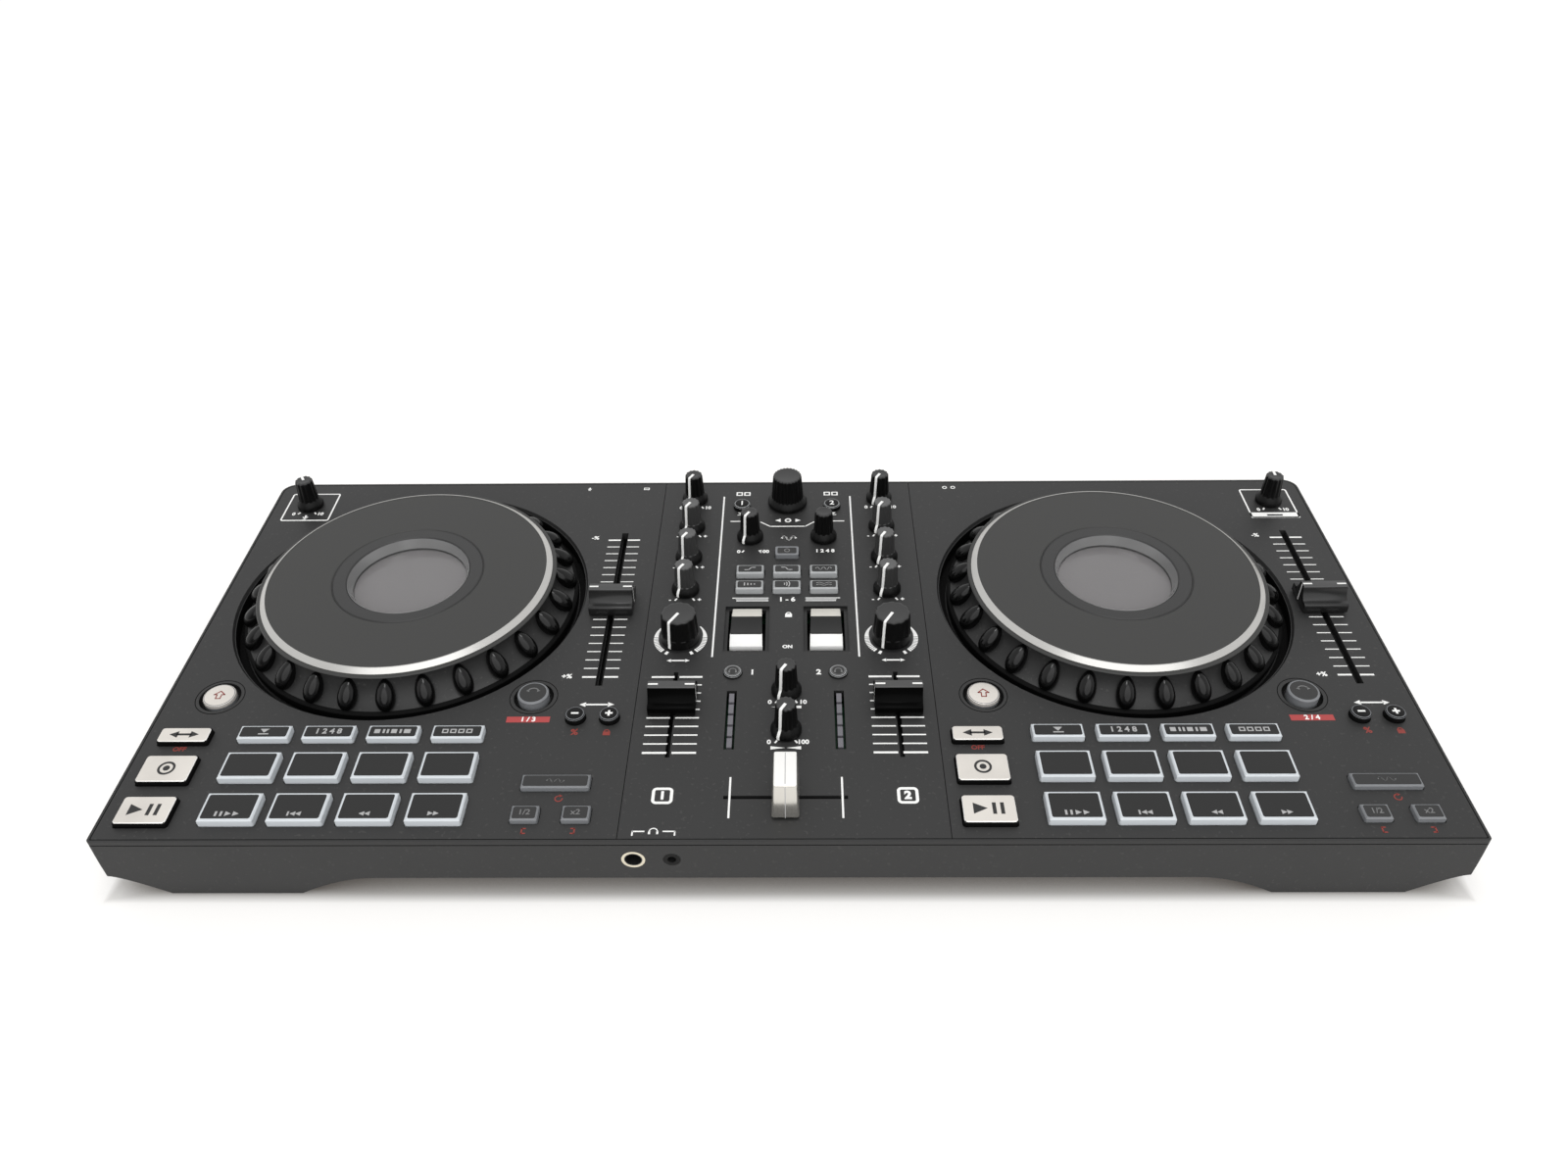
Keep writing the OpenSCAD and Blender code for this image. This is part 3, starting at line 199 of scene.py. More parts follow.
floor_mesh = bmesh.new()
bmesh.ops.create_grid(floor_mesh, x_segments=1, y_segments=1, size=FLOOR_HALF)
floor_data = bpy.data.meshes.new("floor")
floor_mesh.to_mesh(floor_data)
floor_mesh.free()
floor = bpy.data.objects.new("floor", floor_data)
scene.collection.objects.link(floor)

paper = bpy.data.materials.new("white_paper")
paper.use_nodes = True
sheet = paper.node_tree
sheet.nodes.clear()
spot = place_node(sheet, "ShaderNodeSeparateXYZ", {0: place_node(sheet, "ShaderNodeTexCoord").outputs["Object"]})
low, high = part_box("bottom_case")
from_side = math_node(sheet, "SUBTRACT", high.x, math_node(sheet, "ABSOLUTE", spot.outputs["X"]))
from_front = math_node(sheet, "SUBTRACT", spot.outputs["Y"], low.y)
from_back = math_node(sheet, "SUBTRACT", high.y, spot.outputs["Y"])
inside = math_node(sheet, "MINIMUM", from_side, math_node(sheet, "MINIMUM", from_front, from_back))
beyond = map_range(sheet, inside, SHADOW_EDGE, -SHADOW_EDGE)
crevice = place_node(sheet, "ShaderNodeAmbientOcclusion", {"Distance": SHADOW_REACH}, samples=SHADOW_RAYS)
lit = math_node(sheet, "MAXIMUM", beyond, math_node(sheet, "POWER", crevice.outputs["AO"], SHADOW_DEPTH))
shading = place_node(sheet, "ShaderNodeMix", {0: lit, 6: SHADOW_TINT, 7: PAPER}, data_type="RGBA").outputs[2]
matt = place_node(sheet, "ShaderNodeBsdfDiffuse", {"Color": shading})
glow = place_node(sheet, "ShaderNodeEmission", {"Color": shading, "Strength": GLOW_LEVEL})
share = math_node(sheet, "MULTIPLY", seen_rays(sheet), GLOW_SHARE)
page = place_node(sheet, "ShaderNodeMixShader", {0: share, 1: matt.outputs[0], 2: glow.outputs[0]})
place_node(sheet, "ShaderNodeOutputMaterial", {"Surface": page.outputs[0]})
floor_data.materials.append(paper)
print("floor", 2 * FLOOR_HALF, "m square")


# %% [markdown]
# ## Finishes
# Almost everything here is black, so the finishes differ by grain, gloss and a little tone. Two
# node groups carry the detail that more than one material needs. One gives moulded plastic its
# fine grain, slow change of tone and uneven polish. The other draws the fine circles that a lathe
# leaves on a disc or ring. Each material keeps its own shader and feeds it from these groups.

# %% Tones written as they look
def tone(red, green=None, blue=None):
    """A colour written as screen values from 0 to 255, made linear; one value gives a grey."""
    screen = [c / 255 for c in (red, red if green is None else green, red if blue is None else blue)]
    linear = [c / 12.92 if c <= 0.04045 else ((c + 0.055) / 1.055) ** 2.4 for c in screen]
    return (*linear, 1.0)


def shader_group(name, inputs, outputs):
    """An empty shader group with named sockets, and its input and output nodes."""
    group = bpy.data.node_groups.new(name, "ShaderNodeTree")
    kinds = {float: "NodeSocketFloat", tuple: "NodeSocketColor", Vector: "NodeSocketVector"}
    for label, value in inputs.items():
        socket = group.interface.new_socket(label, in_out="INPUT", socket_type=kinds[type(value)])
        socket.default_value = value
    for label, kind in outputs.items():
        group.interface.new_socket(label, in_out="OUTPUT", socket_type=kinds[kind])
    return group, place_node(group, "NodeGroupInput"), place_node(group, "NodeGroupOutput")


# %% Group: moulded grain
BLOTCH_SCALE = 38.0
DUST_SCALE, DUST_START, DUST_FULL, DUST_TONE = 620.0, 0.66, 0.74, tone(190, 188, 182)

moulded_grain, grain_in, grain_out = shader_group(
    "moulded_grain",
    {"Colour": tone(30), "Mottle": 0.12, "Roughness": 0.5, "Polish": 0.08, "Grain": 2500.0, "Dust": 0.0},
    {"Colour": tuple, "Roughness": float, "Height": float},
)
coords = place_node(moulded_grain, "ShaderNodeTexCoord").outputs["Object"]
pores = place_node(
    moulded_grain,
    "ShaderNodeTexNoise",
    {"Vector": coords, "Scale": grain_in.outputs["Grain"], "Detail": 3.0, "Roughness": 0.6},
)
blotches = place_node(
    moulded_grain, "ShaderNodeTexNoise", {"Vector": coords, "Scale": BLOTCH_SCALE, "Detail": 4.0}
)
specks = place_node(
    moulded_grain, "ShaderNodeTexNoise", {"Vector": coords, "Scale": DUST_SCALE, "Detail": 1.0}
)
swing = math_node(moulded_grain, "SUBTRACT", blotches.outputs[0], 0.5)
shade = math_node(moulded_grain, "MULTIPLY_ADD", swing, grain_in.outputs["Mottle"], 1.0)
tinted = place_node(
    moulded_grain, "ShaderNodeVectorMath", {0: grain_in.outputs["Colour"], "Scale": shade}, operation="SCALE"
)
speck_mask = map_range(moulded_grain, specks.outputs[0], DUST_START, DUST_FULL)
dust_share = math_node(moulded_grain, "MULTIPLY", speck_mask, grain_in.outputs["Dust"])
dusted = place_node(
    moulded_grain, "ShaderNodeMix", {0: dust_share, 6: tinted.outputs[0], 7: DUST_TONE}, data_type="RGBA"
)
rough = math_node(moulded_grain, "MULTIPLY_ADD", swing, grain_in.outputs["Polish"], grain_in.outputs["Roughness"])
feed(moulded_grain, grain_out, {"Colour": dusted.outputs[2], "Roughness": rough, "Height": pores.outputs[0]})
print("group", moulded_grain.name, len(moulded_grain.nodes), "nodes")

# %% Group: turned lines
turned_lines, turned_in, turned_out = shader_group(
    "turned_lines",
    {"Place": Vector((0, 0, 0)), "Lines": 2000.0, "Colour": tone(60), "Contrast": 0.2},
    {"Colour": tuple, "Height": float},
)
flat = place_node(
    turned_lines, "ShaderNodeVectorMath", {0: turned_in.outputs["Place"], 1: (1, 1, 0)}, operation="MULTIPLY"
)
radius = place_node(turned_lines, "ShaderNodeVectorMath", {0: flat.outputs[0]}, operation="LENGTH")
along = math_node(turned_lines, "MULTIPLY", radius.outputs["Value"], turned_in.outputs["Lines"])
cut = place_node(turned_lines, "ShaderNodeTexNoise", {"W": along, "Scale": 1.0, "Detail": 2.0}, noise_dimensions="1D")
cut_swing = math_node(turned_lines, "SUBTRACT", cut.outputs[0], 0.5)
cut_shade = math_node(turned_lines, "MULTIPLY_ADD", cut_swing, turned_in.outputs["Contrast"], 1.0)
cut_colour = place_node(
    turned_lines, "ShaderNodeVectorMath", {0: turned_in.outputs["Colour"], "Scale": cut_shade}, operation="SCALE"
)
feed(turned_lines, turned_out, {"Colour": cut_colour.outputs[0], "Height": cut.outputs[0]})
print("group", turned_lines.name, len(turned_lines.nodes), "nodes")


# %% Material makers
GRAIN_DEPTH, LINE_DEPTH = 0.0002, 0.0001


def new_material(name):
    """A material with its tree and its Principled shader."""
    material = bpy.data.materials.new(name)
    material.use_nodes = True
    tree = material.node_tree
    return material, tree, tree.nodes["Principled BSDF"]


def relief(tree, height, strength, depth):
    """The normal of a surface with fine bumps."""
    bumps = {"Height": height, "Strength": strength, "Distance": depth}
    return place_node(tree, "ShaderNodeBump", bumps).outputs[0]


def moulded(name, colour, roughness, grain=3000.0, bump=0.05, mottle=0.2, polish=0.12, dust=0.0, **plain):
    """Plastic, rubber, metal or ink with moulded grain."""
    material, tree, shader = new_material(name)
    values = {
        "Colour": colour, "Mottle": mottle, "Roughness": roughness, "Polish": polish, "Grain": grain, "Dust": dust
    }
    surface = place_node(tree, "ShaderNodeGroup", values, node_tree=moulded_grain).outputs
    normal = relief(tree, surface["Height"], bump, GRAIN_DEPTH)
    links = {"Base Color": surface["Colour"], "Roughness": surface["Roughness"], "Normal": normal}
    feed(tree, shader, {**links, **plain})
    return material


def turned(name, centre, colour, roughness, lines, contrast, bump, **plain):
    """A disc or ring with the fine circles of a lathe round its own centre."""
    material, tree, shader = new_material(name)
    coords = place_node(tree, "ShaderNodeTexCoord").outputs["Object"]
    centred = place_node(tree, "ShaderNodeMapping", {"Vector": coords, "Location": -centre}).outputs[0]
    values = {"Place": centred, "Lines": lines, "Colour": colour, "Contrast": contrast}
    surface = place_node(tree, "ShaderNodeGroup", values, node_tree=turned_lines).outputs
    normal = relief(tree, surface["Height"], bump, LINE_DEPTH)
    feed(tree, shader, {"Base Color": surface["Colour"], "Normal": normal, "Roughness": roughness, **plain})
    return material


# %% Materials: case, panel and controls
SHEEN = 0.4
case_plastic = moulded("case_plastic", tone(40), 0.55, 1800.0, 0.16, dust=0.02, Specular_IOR_Level=SHEEN)
lip_plastic = moulded("lip_plastic", tone(36), 0.5, 2200.0, 0.1, Specular_IOR_Level=SHEEN)
panel_paint = moulded("panel_paint", tone(38), 0.5, 4200.0, 0.05, 0.16, dust=0.03, Specular_IOR_Level=SHEEN)
hub_plastic = moulded("hub_plastic", tone(34), 0.4, 3600.0, 0.04)
wheel_satin = moulded("wheel_satin", tone(36), 0.42, dust=0.03, Specular_IOR_Level=0.3)
nub_gloss = moulded("nub_gloss", tone(8), 0.16, polish=0.05, Specular_IOR_Level=0.28)
bezel_clear = moulded("bezel_clear", tone(120), 0.14, mottle=0.1)
knob_black = moulded("knob_black", tone(8), 0.42, 3600.0, 0.08, Specular_IOR_Level=0.16)
knob_grey = moulded("knob_grey", tone(50), 0.45, 3600.0, 0.08)
knob_top = moulded("knob_top", tone(40), 0.42, 3600.0, 0.05)
knob_top_pale = moulded("knob_top_pale", tone(84), 0.45, 3600.0, 0.05)
cap_plastic = moulded("cap_plastic", tone(5), 0.3, Specular_IOR_Level=0.03)
cap_painted_sheen = moulded("cap_painted_sheen", tone(28), 0.28, Specular_IOR_Level=0.36)
cap_top = moulded("cap_top", tone(68), 0.45, 3600.0, 0.05, Specular_IOR_Level=SHEEN)
key_silver = moulded("key_silver", tone(218, 213, 206), 0.32, 3200.0, 0.04, 0.5, Metallic=0.4)
# A paler silver for the bevels of the silver keys: a painted highlight.
key_edge_highlight = moulded("key_edge_highlight", tone(246, 244, 240), 0.3, 3200.0, 0.02, 0.1, Metallic=0.2)
key_black = moulded("key_black", tone(26), 0.42, 3600.0, 0.06)
pad_lens = moulded("pad_lens", tone(208, 213, 217), 0.4, 3000.0, 0.04, 0.1)
effect_lens = moulded("effect_lens", tone(166, 168, 169), 0.4, 3000.0, 0.04, 0.1)
dim_lens = moulded("dim_lens", tone(120, 122, 125), 0.42, 3000.0, 0.04, 0.1)
pad_rubber = moulded("pad_rubber", tone(27), 0.5, 2600.0, 0.1, Specular_IOR_Level=0.34)
slider_silver = moulded("slider_silver", tone(214, 211, 204), 0.2, 3200.0, 0.01, 0.05, Metallic=0.85)
slider_top_highlight = moulded("slider_top_highlight", tone(244, 243, 240), 0.3, 3200.0, 0.01, 0.04)
paddle_white = moulded("paddle_white", tone(238, 238, 236), 0.35, 3200.0, 0.03, 0.05)
paddle_dark = moulded("paddle_dark", tone(27), 0.32, 3200.0, 0.03, Specular_IOR_Level=0.25)
paddle_pale = moulded("paddle_pale", tone(216, 213, 204), 0.4, 3200.0, 0.03, 0.06)
lamp_lens = moulded("lamp_lens", tone(106, 104, 110), 0.3, 2800.0, 0.03)
print("control finishes ready")

# %% Materials: inks, sockets and hidden parts
PRINT_GRAIN = (4000.0, 0.02, 0.08)
INK_TONES = {
    "white": tone(246, 246, 244), "pale": tone(172), "dim": tone(112), "red": tone(170, 62, 62),
    "brick": tone(134, 48, 40), "black": tone(22),
}
INKS = {colour: moulded(colour + "_ink", look, 0.5, *PRINT_GRAIN) for colour, look in INK_TONES.items()}
INKS["shadow"] = moulded("shadow_black", tone(5), 0.7, *PRINT_GRAIN, Specular_IOR_Level=0.1)
foot_rubber = moulded("foot_rubber", tone(26), 0.8, 1500.0, 0.25)
screw_steel = moulded("screw_steel", tone(150, 150, 152), 0.35, Metallic=1.0)
shell_steel = moulded("shell_steel", tone(196, 197, 199), 0.28, 2600.0, 0.04, Metallic=1.0)
jack_plastic = moulded("jack_plastic", tone(26), 0.45, 2800.0, 0.06)
jack_nickel = moulded("jack_nickel", tone(226, 218, 198), 0.28, 3000.0, 0.03, Metallic=0.9)
socket_white = moulded("socket_white", tone(226, 225, 220), 0.4, 3000.0, 0.03)
socket_red = moulded("socket_red", tone(180, 32, 34), 0.4, 3000.0, 0.03)
board_green = moulded("board_green", tone(24, 70, 44), 0.4, 1200.0, 0.08)
can_steel = moulded("can_steel", tone(130, 133, 136), 0.4, 2400.0, 0.08, Metallic=0.9)
switch_plastic = moulded("switch_plastic", tone(30), 0.5, 2600.0, 0.08)
# Painted shade: the fader tracks are near-black so that the slots over them read dark.
track_slot_shade = moulded("track_slot_shade", tone(10), 0.6, 2600.0, 0.08)
screen_panel = moulded("screen_panel", tone(100, 97, 98), 0.16, 5200.0, 0.01, 0.08)

window_clear, window_tree, glass = new_material("window_clear")
feed(window_tree, glass, {"Base Color": WHITE, "Roughness": 0.05, "Alpha": 0.03})
print("inks, sockets and inner finishes ready")

# %% Materials: wheels
JOG_PLACES = {side: sum(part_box(side + "_jog_disc"), Vector()) / 2 for side in SIDES}
disc_vinyl = {
    side: turned(side + "_disc_vinyl", place, tone(50, 50, 49), 0.5, 3200.0, 0.35, 0.12, Specular_IOR_Level=SHEEN)
    for side, place in JOG_PLACES.items()
}
ring_silver = {
    side: turned(side + "_ring_silver", place, tone(190, 189, 186), 0.3, 5000.0, 0.2, 0.05, Metallic=0.85)
    for side, place in JOG_PLACES.items()
}
print("wheel centres", {side: [round(c, 4) for c in place] for side, place in JOG_PLACES.items()})

# %% [markdown]
# ## Paint the CAD nodes
# Where the drawing's shape is already right, the node stays and only takes a finish. The record
# names a slot for each node, so one table from node to finish covers the case, the plates, the
# keys and everything inside.

# %% Paint
FINISHES = {
    "bottom_case": case_plastic, "top_case": lip_plastic, "face_plates": panel_paint,
    "rubber_feet": foot_rubber, "case_screws": screw_steel, "circuit_boards": board_green,
    "potentiometers": can_steel, "fader_tracks": track_slot_shade, "tact_switches": switch_plastic,
    "jog_hubs": hub_plastic, "display_screens": screen_panel, "display_windows": window_clear,
    "level_meters": lamp_lens, "audio_jacks": jack_plastic, "usb_socket": shell_steel,
    "phono_sockets": shell_steel, "browse_shaft": screw_steel, "mixer_keys": effect_lens,
}
DECK_FINISHES = {
    "pads": pad_lens, "mode_keys": pad_lens, "small_keys": dim_lens, "sync_key": knob_black,
    "cue_key": knob_black, "play_key": knob_black,
}
for side in SIDES:
    FINISHES[side + "_jog_disc"] = disc_vinyl[side]
    FINISHES[side + "_jog_ring"] = ring_silver[side]
    FINISHES.update({f"{side}_{group}": finish for group, finish in DECK_FINISHES.items()})
for name, node in nodes.items():
    node.data.materials.clear()
    node.data.materials.append(FINISHES.get(name, knob_black))
print("painted", len(nodes), "nodes")


# %% [markdown]
# ## Tools for small parts
# A few helpers draw everything that is added: a strip is a side outline pushed out to a width, a
# turned part is an outline spun round its axis, and ink is a very thin raised shape. All of them
# draw in millimetres round the origin. The last helper moves the finished mesh to its place, and
# hands it to the body that carries it.

# %% Shape helpers
def push_out(bm, corners, step):
    """A closed solid: a face through the corners, pushed out by a step."""
    face = bm.faces.new([bm.verts.new(c) for c in corners])
    pushed = bmesh.ops.extrude_face_region(bm, geom=[face], use_keep_orig=True)["geom"]
    bmesh.ops.translate(bm, vec=step, verts=[g for g in pushed if isinstance(g, bmesh.types.BMVert)])


def strip(bm, outline, width):
    """A side outline in y and z, pushed out across x to a width."""
    push_out(bm, [(-width / 2, y, z) for y, z in outline], (width, 0, 0))


def spun(outline, steps):
    """A new bmesh: an outline in radius and height, spun round the upright axis."""
    bm = bmesh.new()
    verts = [bm.verts.new((r, 0, z)) for r, z in outline]
    edges = [bm.edges.new(pair) for pair in zip(verts, verts[1:])]
    bmesh.ops.spin(
        bm, geom=verts + edges, cent=(0, 0, 0), axis=(0, 0, 1), angle=2 * math.pi, steps=steps, use_merge=True
    )
    bmesh.ops.remove_doubles(bm, verts=bm.verts, dist=1e-4)
    bmesh.ops.recalc_face_normals(bm, faces=bm.faces)
    return bm


def turned_ring(outline, steps):
    """The same for a closed outline, which gives a ring."""
    return spun(outline + outline[:1], steps)


def sweep(start, bend, end, steps=8):
    """Points along a three-point curve."""
    shares = [i / steps for i in range(steps + 1)]
    return [
        tuple((1 - t) ** 2 * a + 2 * t * (1 - t) * b + t * t * c for a, b, c in zip(start, bend, end)) for t in shares
    ]


def soften(bm, width, segments=2, sharper_than=30):
    """Bevels every edge that turns by more than an angle."""
    edges = [e for e in bm.edges if e.is_manifold and e.calc_face_angle() > math.radians(sharper_than)]
    bmesh.ops.bevel(
        bm, geom=edges, offset=width, offset_type="OFFSET", affect="EDGES", segments=segments, profile=0.5,
        material=-1, clamp_overlap=True,
    )


# %% Hand a piece over
def drawn(*steps):
    """A new bmesh that each step, a function with what it is given, draws on in turn."""
    bm = bmesh.new()
    for draw, *given in steps:
        draw(bm, *given)
    return bm


def add_part(bm, part, place=Matrix(), finish=0):
    """Adds a bmesh to another one, moved to its place, with the number of its finish."""
    bmesh.ops.recalc_face_normals(part, faces=part.faces)
    part.transform(place)
    if finish:
        for face in part.faces:
            face.material_index = finish
    mesh = bpy.data.meshes.new("part")
    part.to_mesh(mesh)
    part.free()
    bm.from_mesh(mesh)
    bpy.data.meshes.remove(mesh)


def hand_over(name, bm, place, body, finishes, stands_for=None, smooth=35):
    """Turns a bmesh into a piece: moved to its place, shaded, painted and riding on its body."""
    bmesh.ops.recalc_face_normals(bm, faces=bm.faces)
    bm.transform(place)
    mesh = bpy.data.meshes.new(name)
    bm.to_mesh(mesh)
    bm.free()
    for finish in finishes:
        mesh.materials.append(finish)
    mesh.shade_smooth()
    mesh.set_sharp_from_angle(angle=math.radians(smooth))
    piece = bpy.data.objects.new(name, mesh)
    scene.collection.objects.link(piece)
    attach(piece, body)
    if stands_for:
        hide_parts(stands_for)


# %% Ink helpers
INK = 0.06


def bar(bm, x, y, width, depth, z=0.0):
    """A printed bar, drawn round its centre."""
    size = Matrix.Diagonal((width, depth, INK, 1))
    bmesh.ops.create_cube(bm, size=1, matrix=Matrix.Translation((x, y, z + INK / 2)) @ size)


def shape(bm, corners, z=0.0):
    """A printed shape with straight sides."""
    push_out(bm, [(x, y, z) for x, y in corners], (0, 0, INK))


def stroke(bm, points, line, z=0.0):
    """A printed line of a given width through some points."""
    for (x0, y0), (x1, y1) in zip(points, points[1:]):
        length = math.hypot(x1 - x0, y1 - y0)
        turn = Matrix.Rotation(math.atan2(y1 - y0, x1 - x0), 4, "Z")
        middle = Matrix.Translation(((x0 + x1) / 2, (y0 + y1) / 2, z + INK / 2))
        bmesh.ops.create_cube(bm, size=1, matrix=middle @ turn @ Matrix.Diagonal((length + line / 2, line, INK, 1)))


def ring(bm, x, y, radius, line, start=0.0, sweep=360.0, z=0.0):
    """A printed circle or arc, in degrees from the right-hand side."""
    inner, outer = radius - line / 2, radius + line / 2
    corners = [bm.verts.new((x + r, y, h)) for r, h in ((inner, z), (outer, z), (outer, z + INK), (inner, z + INK))]
    face = bm.faces.new(corners)
    bmesh.ops.rotate(bm, verts=corners, cent=(x, y, 0), matrix=Matrix.Rotation(math.radians(start), 3, "Z"))
    edges = list(face.edges)
    bmesh.ops.delete(bm, geom=[face], context="FACES_ONLY")
    bmesh.ops.spin(
        bm, geom=corners + edges, cent=(x, y, 0), axis=(0, 0, 1), angle=math.radians(sweep),
        steps=max(8, round(sweep / 6)), use_merge=sweep == 360.0,
    )


def frame_line(bm, x, y, width, depth, line, z=0.0, corner=0.0):
    """A printed rectangle, drawn as four bars, with a quarter ring at each round corner."""
    for s in (-1, 1):
        bar(bm, x, y + s * (depth - line) / 2, width - 2 * corner, line, z)
        bar(bm, x + s * (width - line) / 2, y, line, depth - 2 * max(line, corner), z)
    for start, (across, along) in zip((0, 90, 180, 270), ((1, 1), (-1, 1), (-1, -1), (1, -1))):
        if corner:
            middle = (x + across * (width / 2 - corner), y + along * (depth / 2 - corner))
            ring(bm, *middle, corner - line / 2, line, start, 90.0, z)


def letters(bm, text, x, y, size, z=0.0, bold=0.0):
    """Printed numerals or a sign, centred on a place."""
    curve = bpy.data.curves.new("print", "FONT")
    curve.body = text
    curve.size = size
    curve.align_x = "CENTER"
    curve.align_y = "CENTER"
    curve.extrude = INK / 2
    curve.offset = bold
    curve.resolution_u = 4
    writing = bpy.data.objects.new("print", curve)
    scene.collection.objects.link(writing)
    flat_mesh = writing.to_mesh()
    flat_mesh.transform(Matrix.Translation((x, y, z + INK / 2)))
    bm.from_mesh(flat_mesh)
    writing.to_mesh_clear()
    bpy.data.objects.remove(writing)
    bpy.data.curves.remove(curve)


print("helpers ready")

# %% [markdown]
# ## Jog wheels
# The side of a wheel sweeps in under its disc as a hollow flank, and long glossy nubs lie along the
# flank for the fingertips. The skirt is one outline spun round the wheel's axis. Each nub is a
# sphere drawn out to an egg, tilted to the slope of the flank and turned to its place. Little light
# reaches the well round the wheel, so its wall and the wheel's rim take a shadow black.

# %% Make the jog wheels
RIM, FLANK, NECK = (78.2, -1.7), (67.5, 10.0), (65.5, 11.2)
RIM_FOOT, RIM_LIP, RIM_ROUND, RIM_SHADE, SHADE_WIDTH, FLANK_SAG, WALL = -6.0, 1.5, 0.6, 0.3, 1.4, 1.6, 4.2
WEB = [(20.1, -6.0), (24.1, -6.0), (24.1, 2.0), (67.0, 2.0), (67.0, 4.5), (24.1, 4.5), (24.1, 5.0), (20.1, 5.0)]
NUBS, NUB_HALF_WIDTH, NUB_HALF_LENGTH, NUB_LEAN, EGG = 27, 4.2, 7.4, -42.44, 0.2
NUB_TURN = {"left": -2.5, "right": 0.0}
NUB_MIDDLE = (71.75, 0, 3.9)
WHEEL_STEPS = 144
WELL = [(78.5, -7.97), (81.97, -7.97), (81.97, -1.55), (81.9, -1.55), (81.9, -7.9), (78.5, -7.9)]


def skirt_outline():
    """The wheel's wall: up the rim, along the hollow flank to the neck, and back down inside."""
    bend = tuple((a + b) / 2 - 2 * FLANK_SAG for a, b in zip(RIM, FLANK))
    outside = [(RIM[0], RIM_FOOT), (RIM[0], RIM[1] - RIM_ROUND)]
    outside += sweep((RIM[0] - RIM_ROUND, RIM[1]), bend, FLANK, 14)
    inside = [
        (NECK[0], FLANK[1]), NECK, (NECK[0] - WALL, NECK[1]), (NECK[0] - WALL, FLANK[1] - WALL),
        (RIM[0] - WALL, RIM_FOOT + RIM_LIP), (RIM[0] - WALL, RIM_FOOT),
    ]
    return outside + inside


def finger_nub():
    """An egg along the upright axis, fuller at its foot."""
    egg = bmesh.new()
    bmesh.ops.create_uvsphere(egg, u_segments=20, v_segments=12, radius=1.0)
    for vert in egg.verts:
        fuller = NUB_HALF_WIDTH * (1 - EGG * vert.co.z)
        vert.co = (vert.co.x * fuller, vert.co.y * fuller, vert.co.z * NUB_HALF_LENGTH)
    return egg


for side in SIDES:
    place = over_node(side + "_jog_disc")
    wheel = turned_ring(skirt_outline(), WHEEL_STEPS)
    for face in wheel.faces:
        middle = face.calc_center_median()
        if middle.z < RIM[1] + RIM_SHADE and middle.xy.length > RIM[0] - SHADE_WIDTH:
            face.material_index = 2
    add_part(wheel, turned_ring(WEB, WHEEL_STEPS // 2))
    lie = Matrix.Translation(NUB_MIDDLE) @ Matrix.Rotation(math.radians(NUB_LEAN), 4, "Y")
    for i in range(NUBS):
        turn = Matrix.Rotation(math.radians(90 + NUB_TURN[side] + i * 360 / NUBS), 4, "Z")
        add_part(wheel, finger_nub(), turn @ lie, 1)
    well = turned_ring(WELL, WHEEL_STEPS)
    hand_over(side + "_well_shade", well, place, "chassis", [INKS["shadow"]])
    hand_over(
        side + "_wheel_skirt", wheel, place, side + "_jog", [wheel_satin, nub_gloss, INKS["shadow"]],
        side + "_jog_wheel", smooth=40,
    )
print("jog wheels with", NUBS, "nubs each")

# %% [markdown]
# ## Displays
# Each hub holds a round display under a clear window, in a bright, sloping wall. The window is a
# thin turned disc. A clear surface with a little gloss is enough here, because a thin window bends
# light too little to see, and real refraction would only add noise.

# %% Make the windows
HUB_STEPS = 96
WALL_RING = [(28.42, 13.7), (28.2, 13.9), (26.35, 9.4), (26.42, 9.25)]
GAP_RING = [(34.88, 12.6), (35.14, 12.6), (35.14, 13.9), (34.88, 13.9)]
WINDOW = [(0, 9.2), (26.2, 9.2), (26.35, 9.05), (26.35, 8.3), (0, 8.3)]

windows = bmesh.new()
for side in SIDES:
    place = over_node(side + "_jog_disc")
    for name, outline, finish in (("window_wall", WALL_RING, bezel_clear), ("hub_gap", GAP_RING, hub_plastic)):
        hand_over(f"{side}_{name}", turned_ring(outline, HUB_STEPS), place, "chassis", [finish])
    add_part(windows, spun(WINDOW, HUB_STEPS), place)
hand_over("jog_windows", windows, Matrix(), "chassis", [window_clear], "display_windows")
print("windows", len(SIDES))

# %% [markdown]
# ## Knobs
# A knob is a turned cap: a flared skirt, a tapered body with wide flutes for the fingers, and a flat
# top with a painted pointer that runs over the edge and down to the skirt. Spinning an outline gives
# the cap. The columns of each flute are then drawn in along a shallow curve, which cuts the flutes
# without drawing each one.

# %% Knob forms
SMALL_KNOB = {"skirt": 13.3, "body": 10.0, "top": 8.7, "height": 16.5, "flutes": 12}
FILTER_KNOB = {"skirt": 17.5, "body": 17.2, "top": 15.8, "height": 15.7, "flutes": 12}
BROWSE_KNOB = {"skirt": 20.5, "body": 16.6, "top": 14.6, "height": 18.0, "flutes": 24}
KNOB_LIFT, BROWSE_TRAVEL, SKIRT_HEIGHT, SKIRT_SWEEP, KNOB_EDGE = 0.4, 0.5, 3.2, 1.6, 0.7
BODY_FOOT = SKIRT_HEIGHT + SKIRT_SWEEP
FLUTE_COLUMNS, FLUTE_SHARE, FLUTE_DEPTH = 8, 0.65, 0.4
POINTER_WIDTH, POINTER_RAISE, POINTER_ROOT = 1.25, 0.12, 0.6
SEVEN, ELEVEN, TWELVE = 150, 30, 0


